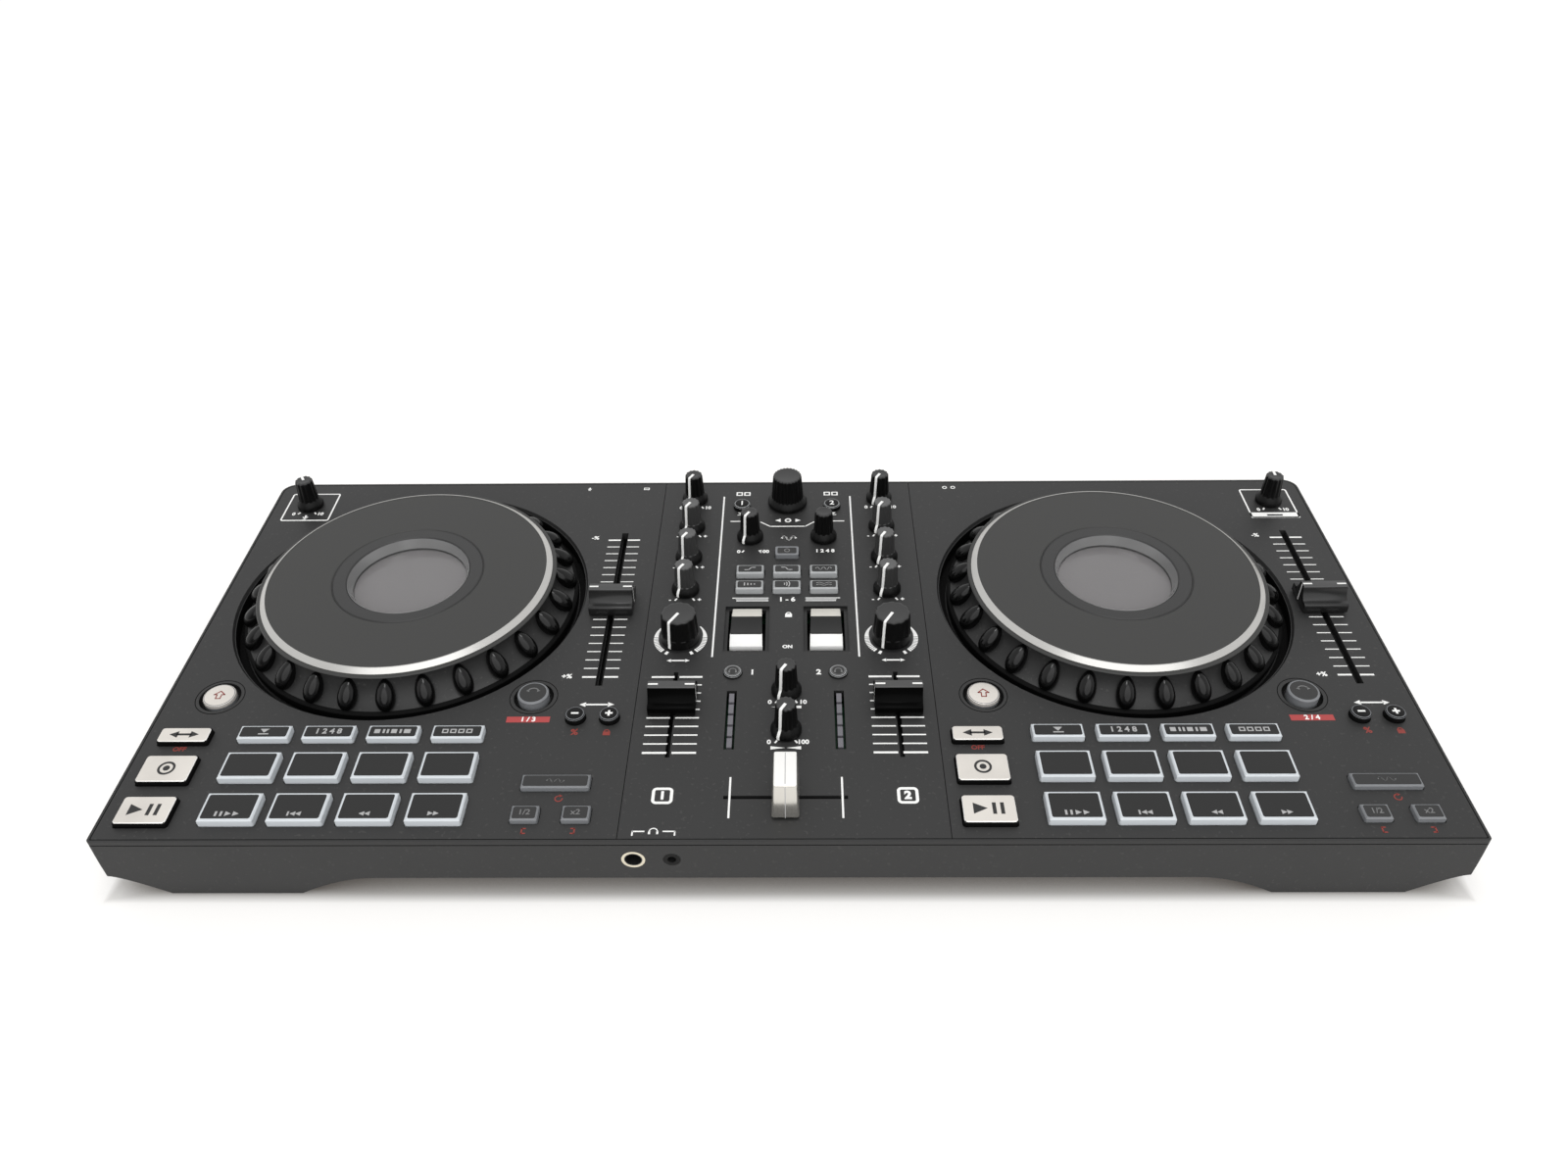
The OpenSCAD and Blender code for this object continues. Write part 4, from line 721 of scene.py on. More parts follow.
def knob_outline(form, lift):
    """Skirt, sweep, body and edge, from the foot to the top."""
    skirt, body, top = (form[part] / 2 for part in ("skirt", "body", "top"))
    height = form["height"]
    shoulder = sweep((skirt, 2.0), (skirt - 0.2, SKIRT_HEIGHT - 0.2), (body, BODY_FOOT), 6)
    return [(skirt - 0.3, lift), (skirt, lift + 0.3)] + shoulder + [
        (body, BODY_FOOT + 0.3), (top + 0.05, height - 1.1), (top, height - KNOB_EDGE),
        (top - 0.2, height - 0.2), (top - KNOB_EDGE, height), (top - 1.3, height),
    ]


def cut_flutes(bm, form):
    """Draws in the columns of each flute along a shallow curve."""
    columns = FLUTE_COLUMNS * form["flutes"]
    for vert in bm.verts:
        reach = vert.co.xy.length
        if vert.co.z > BODY_FOOT + 0.2 and reach > form["top"] / 2 - KNOB_EDGE - 0.1:
            column = round(math.atan2(vert.co.y, vert.co.x) / (2 * math.pi) * columns) % FLUTE_COLUMNS
            off_centre = (column / FLUTE_COLUMNS - 0.5) / (FLUTE_SHARE / 2)
            shrink = 1 - FLUTE_DEPTH * max(0.0, 1 - off_centre ** 2) / reach
            vert.co.x *= shrink
            vert.co.y *= shrink


def knob_pointer(outline, height):
    """The painted pointer: from the middle of the top, over the edge and down to the skirt."""
    raised = [(r + POINTER_RAISE, z + POINTER_RAISE * (z > height - 0.5)) for r, z in outline[1:]]
    sunk = [(r - POINTER_ROOT, min(z, height - POINTER_ROOT)) for r, z in reversed(outline[1:])]
    rib = bmesh.new()
    strip(rib, raised + [(0.2, height + POINTER_RAISE), (0.2, height - POINTER_ROOT)] + sunk, POINTER_WIDTH)
    return rib


# %% Make the knobs
def make_knob(node, form, turn=None, grip=knob_black, lid=knob_top, lift=KNOB_LIFT):
    """A fluted knob in the place of its CAD node."""
    outline = knob_outline(form, lift)
    knob = spun(outline, FLUTE_COLUMNS * form["flutes"])
    cut_flutes(knob, form)
    bmesh.ops.holes_fill(knob, edges=[e for e in knob.edges if e.is_boundary], sides=0)
    bmesh.ops.recalc_face_normals(knob, faces=knob.faces)
    top = [f for f in knob.faces if f.normal.z > 0.9 and f.calc_center_median().z > form["height"] - 0.1]
    bmesh.ops.inset_region(knob, faces=[f for f in top if len(f.verts) > 4], thickness=0.5, depth=-0.15)
    for face in knob.faces:
        level = face.calc_center_median().z
        if face.normal.z > 0.3 and level > form["height"] - 0.5:
            face.material_index = 1
        elif level < BODY_FOOT:
            face.material_index = 3
    if turn is not None:
        add_part(knob, knob_pointer(outline, form["height"]), Matrix.Rotation(math.radians(turn), 4, "Z"), 2)
    hand_over(
        node + "_fluted", knob, over_node(node), node, [grip, lid, INKS["white"], knob_black], node,
        smooth=24,
    )


for side in SIDES:
    make_knob(side + "_gain_knob", SMALL_KNOB, SEVEN)
    for row in ("high", "mid", "low"):
        make_knob(f"{side}_{row}_knob", SMALL_KNOB, SEVEN, knob_grey, knob_top_pale)
    make_knob(side + "_filter_knob", FILTER_KNOB, SEVEN)
for node, turn in (("mic_knob", ELEVEN), ("master_knob", TWELVE), ("effect_mix_knob", SEVEN), ("beats_knob", None)):
    make_knob(node, SMALL_KNOB, turn)
make_knob("browse_knob", BROWSE_KNOB, lift=KNOB_LIFT + BROWSE_TRAVEL)
for node in ("phones_gain_knob", "phones_mix_knob"):
    make_knob(node, SMALL_KNOB, SEVEN)

# %% [markdown]
# ## Fader caps
# A fader cap has hollow flanks that sweep up from a broad foot to a ridge, so that a fingertip finds
# it. Its side outline pushed out to the cap's width gives the whole form, and a bevel catches the
# light along its edges. White dashes at the ends of the ridge, and lines down the cap's ends, show
# the setting. The flat ridge catches more light than the flanks, and a paler finish shows that.

# %% Make the caps
CAP = {"width": 20.6, "depth": 17.6, "height": 11.0, "ridge": 5.0, "flare": 3.0, "lift": 0.6}
CAP_SHOULDER, CAP_BEND, CAP_ROUND = 1.5, (0.8, 1.5), 0.5
DASH_LENGTH, DASH_WIDTH, DASH_IN, DASH_SINK = 4.2, 0.9, 2.4, 0.03


def cap_outline():
    """One flank from the foot to the ridge, and its mirror image."""
    foot, ridge, step = CAP["depth"] / 2, CAP["ridge"] / 2, CAP["lift"] + CAP["flare"]
    brow = step + CAP_SHOULDER
    flank = [(foot, CAP["lift"])] + sweep((foot, step), (foot, brow), (foot - CAP_SHOULDER, brow), 5)
    bend = (ridge + CAP_BEND[0], brow + CAP_BEND[1])
    flank += sweep((foot - 2 * CAP_SHOULDER, brow), bend, (ridge, CAP["height"] - CAP_ROUND))
    flank += [(ridge - CAP_ROUND, CAP["height"])]
    return flank + [(-y, z) for y, z in reversed(flank)]


# The pitch caps take a lighter, glossier copy of the cap plastic: a painted sheen on their fronts.
for side in SIDES:
    for kind, finish in (("pitch", cap_painted_sheen), ("channel", cap_plastic)):
        node = f"{side}_{kind}_cap"
        cap = bmesh.new()
        strip(cap, cap_outline(), CAP["width"] - 0.02)
        soften(cap, 0.3)
        bmesh.ops.recalc_face_normals(cap, faces=cap.faces)
        for face in cap.faces:
            if face.normal.z > 0.6 and face.calc_center_median().z > CAP["height"] - 0.5:
                face.material_index = 2
        dashes = bmesh.new()
        for s in (-1, 1):
            bar(dashes, s * (CAP["width"] / 2 - DASH_IN), 0, DASH_LENGTH, DASH_WIDTH, CAP["height"] - DASH_SINK)
            end = Matrix.Translation((s * CAP["width"] / 2, 0, CAP["height"] / 2 + CAP["lift"]))
            size = Matrix.Diagonal((INK, DASH_WIDTH, CAP["height"] - 2, 1))
            bmesh.ops.create_cube(dashes, size=1, matrix=end @ size)
        add_part(cap, dashes, finish=1)
        hand_over(
            node + "_form", cap, over_node(node), f"{side}_{kind}_fader", [finish, INKS["white"], cap_top],
            node,
        )
print("fader caps", 2 * len(SIDES))

# %% [markdown]
# ## Crossfader cap
# The crossfader's cap is a tall bright block that narrows to its top. Scaling the upper corners of a
# box gives the taper, a rounded bevel gives the soft edges that hold the long highlight, and a grey
# line marks its middle. Its upward faces take a near-white colour, a painted highlight.

# %% Make the crossfader cap
CROSS = {"foot": (11.2, 23.0), "top": (9.4, 18.4), "height": 17.2, "lift": 0.6}
CROSS_ROUND, LINE_WIDTH = 0.9, 0.35

rise = CROSS["height"] - CROSS["lift"]
block = bmesh.new()
body_size = Matrix.Diagonal((*CROSS["foot"], rise, 1))
bmesh.ops.create_cube(block, size=1, matrix=Matrix.Translation((0, 0, CROSS["lift"] + rise / 2)) @ body_size)
upper = [v for v in block.verts if v.co.z > rise / 2]
taper = [top / foot for top, foot in zip(CROSS["top"], CROSS["foot"])]
bmesh.ops.scale(block, vec=(*taper, 1), verts=upper)
soften(block, CROSS_ROUND, segments=4)
bmesh.ops.recalc_face_normals(block, faces=block.faces)
# Painted highlight: the upward faces take a near-white colour, lighter than the silver sides.
for face in block.faces:
    if face.normal.z > 0.8:
        face.material_index = 2
half, foot_half = CROSS["top"][1] / 2, CROSS["foot"][1] / 2
edge = [
    (foot_half, CROSS["lift"] + 0.3), (half + 0.2, CROSS["height"] - CROSS_ROUND),
    (half - CROSS_ROUND, CROSS["height"] + 0.02),
]
line = bmesh.new()
strip(line, [(-y, z) for y, z in edge] + edge[::-1], LINE_WIDTH)
add_part(block, line, finish=1)
hand_over(
    "crossfader_block", block, over_node("crossfader_cap"), "crossfader", [slider_silver, INKS["pale"], slider_top_highlight],
    "crossfader_cap",
)
print("crossfader cap", CROSS["height"], "mm high")

# %% [markdown]
# ## Effect paddles
# Each paddle rocks on a pin: a steep white face in front, a dark dished middle and a pale sloping
# back. One outline pushed out to the width makes it, and each face takes its colour from where it
# lies along the paddle.

# %% Make the paddles
PADDLE = {"front": 15.2, "back": 13.8, "length": 26.0, "rise": 3.2}
WHITE_END, PALE_START = 5.6, 8.0
PADDLE_KEEL = [(4.0, -8.6), (-4.0, -8.6)]

for side in SIDES:
    half, ridge = PADDLE["length"] / 2, PADDLE["rise"]
    rocker = bmesh.new()
    strip(
        rocker,
        [(-half, -4.0), (-half, 0.3)]
        + sweep((WHITE_END - half, ridge), (-1, ridge - 1), (half - PALE_START, ridge - 0.2))
        + [(half, 0.9), (half, -4.0)] + PADDLE_KEEL,
        PADDLE["front"],
    )
    slope = (PADDLE["back"] / PADDLE["front"] - 1) / PADDLE["length"]
    for vert in rocker.verts:
        vert.co.x *= 1 + slope * (vert.co.y + half)
    soften(rocker, 0.35, sharper_than=20)
    bmesh.ops.recalc_face_normals(rocker, faces=rocker.faces)
    for face in rocker.faces:
        at, facing = face.calc_center_median(), face.normal
        if at.z > -2 and facing.y < -0.3 and at.y < WHITE_END - half + 0.2:
            face.material_index = 1
        elif facing.z > 0.5 and at.y > half - PALE_START:
            face.material_index = 2
    hand_over(
        side + "_paddle_rocker", rocker, over_node(side + "_paddle"), side + "_paddle",
        [paddle_dark, paddle_white, paddle_pale], side + "_paddle", smooth=30,
    )
print("paddles", len(SIDES))

# %% [markdown]
# ## Keys
# The pads and square keys are pale lenses with a dark face let into the top, so that a rim of light
# shows when they are lit. A thin bevelled plate on each key gives the face; on the silver keys the
# bevel takes a paler colour, a painted highlight. The round keys take a thin turned cover in their
# own colour, and two of them sit in a moat whose floor is shadow black, a painted shade, with a thin
# dark line round it.

# %% Key layout
DECK_SHIFT = 334.5
PAD_PITCH, PAD_ROW = 27.3, 22.35
SYNC, CUE, PLAY = (-253.7, 55.5, 21.5, 8.4, 2.4), (-253.7, 36.4, 21.5, 14.8, 2.4), (-253.7, 14.35, 21.5, 14.3, 2.4)
MODE_KEYS = [(-220 + i * PAD_PITCH, 56.7, 22, 8, 2.8) for i in range(4)]
PADS = [(-220 + i * PAD_PITCH, 15.45 + row * PAD_ROW, 22.5, 15, 3) for row in range(2) for i in range(4)]
LOOP, HALF, DOUBLE = (-92.7, 29.6, 28.2, 7.6, 2), (-102.6, 13, 11.3, 8, 2), (-82.3, 13, 11.5, 8, 2)
SHIFT, DECK, SLOWER, FASTER = (-248.2, 80.5, 14, 1.2), (-110, 80, 13.6, 2.7), (-89.9, 67, 8.5, 3), (-75.3, 67, 8.5, 3)
EFFECTS = [(-17.7 + i * 17.95, 154 + row * 12, 13.7, 7, 3) for row in range(2) for i in range(3)]
TAP = (0.25, 181.3, 11.5, 6.8, 2.4)
LOADS = [(-23.5, 222, 8.5, 2.5), (23.5, 222, 8.5, 2.5)]
LISTENS = [(-23.5, 95, 8, 1.4), (23.5, 95, 8, 1.4)]
FACE_RISE, COVER = 0.12, 0.08
MOAT_FLOOR, MOAT_LINE = -1.46, 10.4


def square_plate(bm, key, grow, foot, rise, corner, edge=0.1):
    """A plate with rounded corners over a square key, from a foot to a little above the key's top."""
    x, y, width, depth, height = key
    plate = bmesh.new()
    size = Matrix.Diagonal((width + 2 * grow, depth + 2 * grow, height + rise - foot, 1))
    bmesh.ops.create_cube(plate, size=1, matrix=Matrix.Translation((x, y, (height + rise + foot) / 2)) @ size)
    uprights = [e for e in plate.edges if abs(e.verts[0].co.z - e.verts[1].co.z) > 0.1]
    bmesh.ops.bevel(
        plate, geom=uprights, offset=corner, offset_type="OFFSET", affect="EDGES", segments=3, profile=0.5, material=-1
    )
    soften(plate, edge, segments=1, sharper_than=60)
    add_part(bm, plate)


def key_faces(bm, keys, rim):
    """A dark plate let into the top of each square key, a rim in from its edge."""
    for key in keys:
        square_plate(bm, key, -rim, key[-1] - 3 * FACE_RISE, FACE_RISE, 0.8)


def round_faces(bm, keys, rim):
    """A dark disc let into the top of each round key."""
    for x, y, width, height in keys:
        r, top = width / 2 - rim, height + FACE_RISE
        disc = spun([(0, top), (r - 0.1, top), (r, top - 0.1), (r, height - 0.3)], 48)
        add_part(bm, disc, Matrix.Translation((x, y, 0)))


def round_covers(bm, keys):
    """A thin turned cover over the top and side of each round key."""
    for x, y, width, height in keys:
        r, top = width / 2 + COVER, height + COVER
        cover = spun([(0, top), (r - 1.0, top), (r - 0.3, top - 0.25), (r, top - 0.8), (r, -0.4)], 48)
        add_part(bm, cover, Matrix.Translation((x, y, 0)))


def face_of(key, rise=FACE_RISE):
    """The middle of a key's face or cover, where its mark is printed."""
    return key[0], key[1], key[-1] + rise


# %% Make the key faces and covers
for side, shift in zip(SIDES, (0.0, DECK_SHIFT)):
    place, small_keys = panel_frame(shift), side + "_small_keys"
    for group, keys, rim in (("mode_keys", MODE_KEYS, 1.1), ("pads", PADS, 1.35)):
        faces = drawn((key_faces, keys, rim))
        hand_over(f"{side}_{group}_faces", faces, place, f"{side}_{group}", [pad_rubber])
    faces = drawn((key_faces, (LOOP, HALF, DOUBLE), 1.0), (round_faces, [DECK], 1.0))
    hand_over(side + "_small_key_faces", faces, place, small_keys, [key_black])
    covers = drawn((round_covers, (SLOWER, FASTER)))
    hand_over(side + "_bend_covers", covers, place, small_keys, [knob_black])
    for group, key in (("sync_key", SYNC), ("cue_key", CUE), ("play_key", PLAY)):
        plate = drawn((square_plate, key, -0.3, key[-1] - 0.5, FACE_RISE, 1.3, 0.3))
        plate.normal_update()
        # Painted highlight: the sloping bevel faces of each silver plate take the paler colour.
        for face in plate.faces:
            face.material_index = int(0.1 < face.normal.z < 0.95)
        hand_over(f"{side}_{group}_plate", plate, place, f"{side}_{group}", [key_silver, key_edge_highlight])
    cover = drawn((round_covers, [SHIFT]))
    hand_over(side + "_shift_cover", cover, place, small_keys, [key_silver])
    # Painted shade: shadow black on each moat floor, and a thin dark line round it.
    moat_shade = bmesh.new()
    for x, y, width, _ in (SHIFT, DECK):
        ring(moat_shade, x, y, width / 2 + 1.15, 1.4, z=MOAT_FLOOR)
        ring(moat_shade, x, y, MOAT_LINE, 0.35)
    hand_over(side + "_key_moat_shade", moat_shade, place, "chassis", [INKS["shadow"]])

MIXER_COVERS = (
    ("mixer_key_faces", drawn((key_faces, EFFECTS, 1.1), (round_covers, LISTENS)), key_black),
    ("load_covers", drawn((round_covers, LOADS)), knob_black),
    ("tap_cover", drawn((square_plate, TAP, COVER, -0.4, 0.04, 1.0)), dim_lens),
    ("tap_face", drawn((key_faces, [TAP], 1.0)), key_black),
)
for name, cover, finish in MIXER_COVERS:
    hand_over(name, cover, panel_frame(), "mixer_keys", [finish])
print("key faces and covers ready")


# %% [markdown]
# ## Marks on the keys
# The marks are common signs: transport triangles, numerals, waves and arrows. Every key group
# collects its marks by ink, so that each ink is one thin mesh that moves with its keys.

# %% Signs
def triangle(bm, x, y, size, z=0.0, way=1):
    """A triangle that points right, or left for a way of -1."""
    shape(bm, [(x - way * size / 2, y - size / 2), (x + way * size / 2, y), (x - way * size / 2, y + size / 2)], z)


def two_way_arrow(bm, x, y, reach, head, line, z=0.0):
    """A bar with an arrow head at each end."""
    for s in (-1, 1):
        triangle(bm, x + reach * s, y, head, z, s)
    bar(bm, x, y, 2 * reach - 2.4, line, z)


def wedge(bm, x, y, length, height, way=1):
    """A long wedge that grows to the right, or to the left for a way of -1."""
    end = x + way * length / 2
    shape(bm, [(x - way * length / 2, y), (end, y + height / 2), (end, y - height / 2)])


def wave(bm, x, y, length, height, turns, line, z=0.0):
    """A wavy line."""
    steps = round(12 * turns)
    shares = [i / steps for i in range(steps + 1)]
    points = [(x + length * (t - 0.5), y + height / 2 * math.sin(2 * math.pi * turns * t)) for t in shares]
    stroke(bm, points, line, z)


def headphones(bm, x, y, size, z=0.0):
    """A headband over two ear cups."""
    ring(bm, x, y, 0.5 * size, 0.14 * size, 0.0, 180.0, z)
    for s in (-1, 1):
        bar(bm, x + 0.5 * s * size, y - 0.18 * size, 0.26 * size, 0.42 * size, z)


def padlock(bm, x, y, size):
    """A shackle over a block."""
    bar(bm, x, y - 0.2 * size, 0.85 * size, 0.6 * size)
    ring(bm, x, y + 0.1 * size, 0.28 * size, 0.14 * size, 0.0, 180.0)


def loop_sign(bm, x, y, size):
    """An open ring that ends in an arrow head."""
    ring(bm, x, y, 0.4 * size, 0.14 * size, 80.0, 290.0)
    triangle(bm, x + 0.2 * size, y + 0.4 * size, 0.4 * size)


def microphone(bm, x, y, size):
    """A capsule in a fork on a stand."""
    bar(bm, x, y + 0.2 * size, 0.3 * size, 0.6 * size)
    ring(bm, x, y + 0.15 * size, 0.34 * size, 0.12 * size, 180.0, 180.0)
    bar(bm, x, y - 0.35 * size, 0.12 * size, 0.3 * size)
    bar(bm, x, y - 0.5 * size, 0.5 * size, 0.12 * size)


# %% Deck key marks
def transport_marks(inks):
    """Signs on the three silver keys and the pads of a deck."""
    play, (x, y, top) = inks["play_key", "black"], face_of(PLAY)
    triangle(play, x - 3.6, y, 5.6, top)
    for step in (1.9, 5.1):
        bar(play, x + step, y, 1.5, 5.8, top)
    cue, (x, y, top) = inks["cue_key", "black"], face_of(CUE)
    ring(cue, x, y, 3.1, 1.0, z=top)
    ring(cue, x, y, 0.7, 1.4, z=top)
    sync, (x, y, top) = inks["sync_key", "black"], face_of(SYNC)
    two_way_arrow(sync, x, y, 4.4, 3.7, 1.1, top)
    pads = inks["pads", "pale"]
    stutter, back, rewind, forward = ((x, y - 3.8, top) for x, y, top in map(face_of, PADS[:4]))
    for step in (-4.2, -2.1):
        bar(pads, stutter[0] + step, stutter[1], 0.9, 2.4, stutter[2])
    for step in (0.7, 3.8):
        triangle(pads, stutter[0] + step, stutter[1], 2.4, stutter[2])
    bar(pads, back[0] - 2.9, back[1], 0.7, 2.2, back[2])
    for pad, way in ((back, -1), (rewind, -1), (forward, 1)):
        for step in (-1.1, 1.1):
            triangle(pads, pad[0] + step, pad[1], 2.2, pad[2], way)


def mode_marks(inks):
    """Signs on the four mode keys: a marker, a row of beats, a cut pattern and four cells."""
    modes = inks["mode_keys", "pale"]
    marker, beats, cuts, cells = map(face_of, MODE_KEYS)
    x, y, top = marker
    shape(modes, [(x - 1.9, y + 1.5), (x, y - 0.7), (x + 1.9, y + 1.5)], top)
    bar(modes, x, y - 1.4, 4.4, 0.6, top)
    letters(modes, "1 2 4 8", beats[0], beats[1], 4.0, beats[2], 0.12)
    x, y, top = cuts
    for step, width in ((-6.6, 2.4), (-3.8, 0.9), (-2.1, 0.9), (0.5, 2.4), (3.3, 0.9), (6.1, 2.8)):
        bar(modes, x + step, y, width, 2.3, top)
    x, y, top = cells
    for step in (-5.1, -1.7, 1.7, 5.1):
        frame_line(modes, x + step, y, 2.6, 2.4, 0.55, top)


def small_marks(inks):
    """Signs on the small keys of a deck."""
    dim = inks["small_keys", "dim"]
    x, y, top = face_of(LOOP)
    wave(dim, x, y, 7.0, 1.8, 2, 0.45, top)
    for key, text in ((HALF, "1/2"), (DOUBLE, "x2")):
        x, y, top = face_of(key)
        letters(dim, text, x, y, 3.8, top, 0.05)
    x, y, top = face_of(DECK)
    ring(dim, x, y, 2.6, 0.5, 30.0, 120.0, top)
    for s in (-1, 1):
        triangle(dim, x + 2.4 * s, y + 1.0, 1.4, top, s)
    white = inks["small_keys", "white"]
    for key in (SLOWER, FASTER):
        x, y, top = face_of(key, COVER)
        bar(white, x, y, 3.2, 0.9, top)
    for s in (-1, 1):
        bar(white, x, y + 1.05 * s, 0.9, 1.15, top)
    x, y, top = face_of(SHIFT, COVER)
    arrow = [(0, 2.4), (-2.4, 0.2), (-1.0, 0.2), (-1.0, -2.2), (1.0, -2.2), (1.0, 0.2), (2.4, 0.2), (0, 2.4)]
    stroke(inks["small_keys", "brick"], [(x + dx, y + dy) for dx, dy in arrow], 0.5, top)


for side, shift in zip(SIDES, (0.0, DECK_SHIFT)):
    deck_inks = defaultdict(bmesh.new)
    for add_marks in (transport_marks, mode_marks, small_marks):
        add_marks(deck_inks)
    for (group, colour), marks in deck_inks.items():
        name = f"{side}_{group}_{colour}_marks"
        hand_over(name, marks, panel_frame(shift), f"{side}_{group}", [INKS[colour]])
print("deck marks", len(deck_inks), "on each side")

# %% Mixer key marks
mixer_inks = {colour: bmesh.new() for colour in ("pale", "dim", "white")}
effect_ink, dim_ink, load_ink = mixer_inks.values()
echo, reverb, phaser, high_pass, low_pass, flanger = map(face_of, EFFECTS)
for step, height in ((-2.4, 2.2), (-0.8, 1.7), (0.8, 1.2), (2.4, 0.8)):
    bar(effect_ink, echo[0] + step, echo[1], 0.6, height, echo[2])
for reach in (1.4, 2.6, 3.8):
    ring(effect_ink, reverb[0] - 2.4, reverb[1], reach, 0.5, -32.0, 64.0, reverb[2])
for step in (-0.7, 0.7):
    wave(effect_ink, phaser[0], phaser[1] + step, 7.0, 0.8, 1.5, 0.4, phaser[2])
for (x, y, top), way in ((high_pass, 1), (low_pass, -1)):
    path = [(-2.6, -0.9), (-0.7, -0.9), (0.7, 0.9), (2.6, 0.9)]
    stroke(effect_ink, [(x + way * dx, y + dy) for dx, dy in path], 0.5, top)
wave(effect_ink, flanger[0], flanger[1], 7.6, 1.8, 2.5, 0.45, flanger[2])
x, y, top = face_of(TAP)
ring(dim_ink, x, y, 1.2, 0.5, z=top)
for key in LISTENS:
    x, y, top = face_of(key, COVER)
    headphones(dim_ink, x, y - 0.2, 3.0, top)
    ring(dim_ink, x, y, 2.9, 0.35, z=top)
for key, numeral in zip(LOADS, "12"):
    x, y, top = face_of(key, COVER)
    letters(load_ink, numeral, x, y, 5.0, top, 0.1)
for colour, marks in mixer_inks.items():
    hand_over(f"mixer_keys_{colour}_marks", marks, panel_frame(), "mixer_keys", [INKS[colour]])
print("mixer marks", len(mixer_inks))

# %% [markdown]
# ## Printed panel
# The plates carry fine white scales beside the faders, boxes and arcs round the knobs, and small
# signs in white and red. The black ink also holds painted shade: dark lines round the paddle
# openings, and a ring round each filter knob's foot that is partly its wider dark skirt and partly
# painted shade. Each ink is one thin mesh that lies on the plate. Words and names are left out: a
# sign or a numeral stands in the place of a label, and only the switches' own words are written.

# %% Fader scales
prints = {colour: bmesh.new() for colour in ("white", "pale", "red", "brick", "black")}
white, pale, red, brick, black = prints.values()
PITCH_X, PITCH_FIRST, PITCH_STEP, PITCH_TICKS = -82.5, 92.6, 5.61, 19
CHANNEL_X, CHANNEL_FIRST, CHANNEL_STEP, CHANNEL_TICKS = 48.2, 46.6, 5.09, 10


def scale_ticks(x, first, step, count, near, far, fine, bold):
    """Pairs of ticks on both sides of a slot, with bold ones at the ends."""
    for i in range(count):
        strong = i in (0, count - 1)
        for s in (-1, 1):
            bar(white, x + s * (near + far) / 2, first + i * step, far - near, bold if strong else fine)


for shift in (0.0, DECK_SHIFT):
    scale_ticks(PITCH_X + shift, PITCH_FIRST, PITCH_STEP, PITCH_TICKS, 1.8, 8.0, 0.55, 1.0)
    for text, y in (("-%", 195.5), ("+%", 93.0)):
        letters(white, text, -97.4 + shift, y, 3.7, bold=0.13)
for s in (-1, 1):
    scale_ticks(s * CHANNEL_X, CHANNEL_FIRST, CHANNEL_STEP, CHANNEL_TICKS, 1.1, 11.3, 0.7, 1.1)
print("scale ticks", 2 * PITCH_TICKS + 2 * CHANNEL_TICKS)

# %% Deck signs
for shift, numerals in ((0.0, "1 / 3"), (DECK_SHIFT, "2 / 4")):
    bar(red, -110.2 + shift, 66.2, 18.6, 3.4)
    letters(white, numerals, -110.2 + shift, 66.2, 3.6, INK, 0.12)
    two_way_arrow(white, -81.8 + shift, 75.2, 6.2, 2.8, 0.9)
    letters(brick, "%", -89.3 + shift, 58.6, 4.6, bold=0.14)
    padlock(brick, -75.6 + shift, 58.6, 3.6)
    letters(brick, "OFF", -254.1 + shift, 49.2, 3.2, bold=0.1)
    loop_sign(brick, -90.5 + shift, 21.8, 3.6)
    for x, way in ((-101.9, 1), (-82.7, -1)):
        bracket = [(0.7, 1.2), (-0.7, 1.2), (-0.7, -1.2), (0.7, -1.2)]
        stroke(brick, [(x + shift + way * dx, 5.3 + dy) for dx, dy in bracket], 0.6)
print("deck signs ready")

# %% Knob boxes, arcs and ends
KNOB_ENDS = {"gain": ("0", "10"), "tone": ("-", "+"), "share": ("0", "100")}
KNOB_COLUMN, GAIN_Y, TONE_ROWS, FILTER_Y = 48.5, 228.5, (203.5, 178, 153), 118
FILTER_SIGN_Y, SOCKET_SIGN_Y = 103.2, 239.2


def knob_ends(x, y, kind, reach=7.0, drop=7.0):
    """The two ends of a knob's scale: a tick and a numeral or sign on either side."""
    for s, text in zip((-1, 1), KNOB_ENDS[kind]):
        letters(white, text, x + s * reach, y - drop, 3.3, bold=0.14)
        a = math.radians(-90 + 32 * s)
        points = [(x + r * math.cos(a), y + r * math.sin(a)) for r in (7.3, 8.7)]
        stroke(white, points, 0.8)


def filter_arc(x, y, way):
    """An arc beside a filter knob that grows from its upper end, with teeth towards its lower end."""
    reach, steps = 12.3, 18
    outer, inner = [], []
    for i in range(steps + 1):
        a = math.radians(45 - 93 * i / steps)
        width = 0.5 + 1.7 * min(1.0, 2.2 * i / steps)
        outer.append((x + way * reach * math.cos(a), y + reach * math.sin(a)))
        inner.append((x + way * (reach - width) * math.cos(a), y + (reach - width) * math.sin(a)))
    shape(white, outer + inner[::-1])
    for i in range(8, steps):
        stroke(black, [outer[i], inner[i]], 0.22, INK)
    ring(white, x, y, reach - 1.1, 2.0, 270 + way * 30 - 3.5, 7.0)


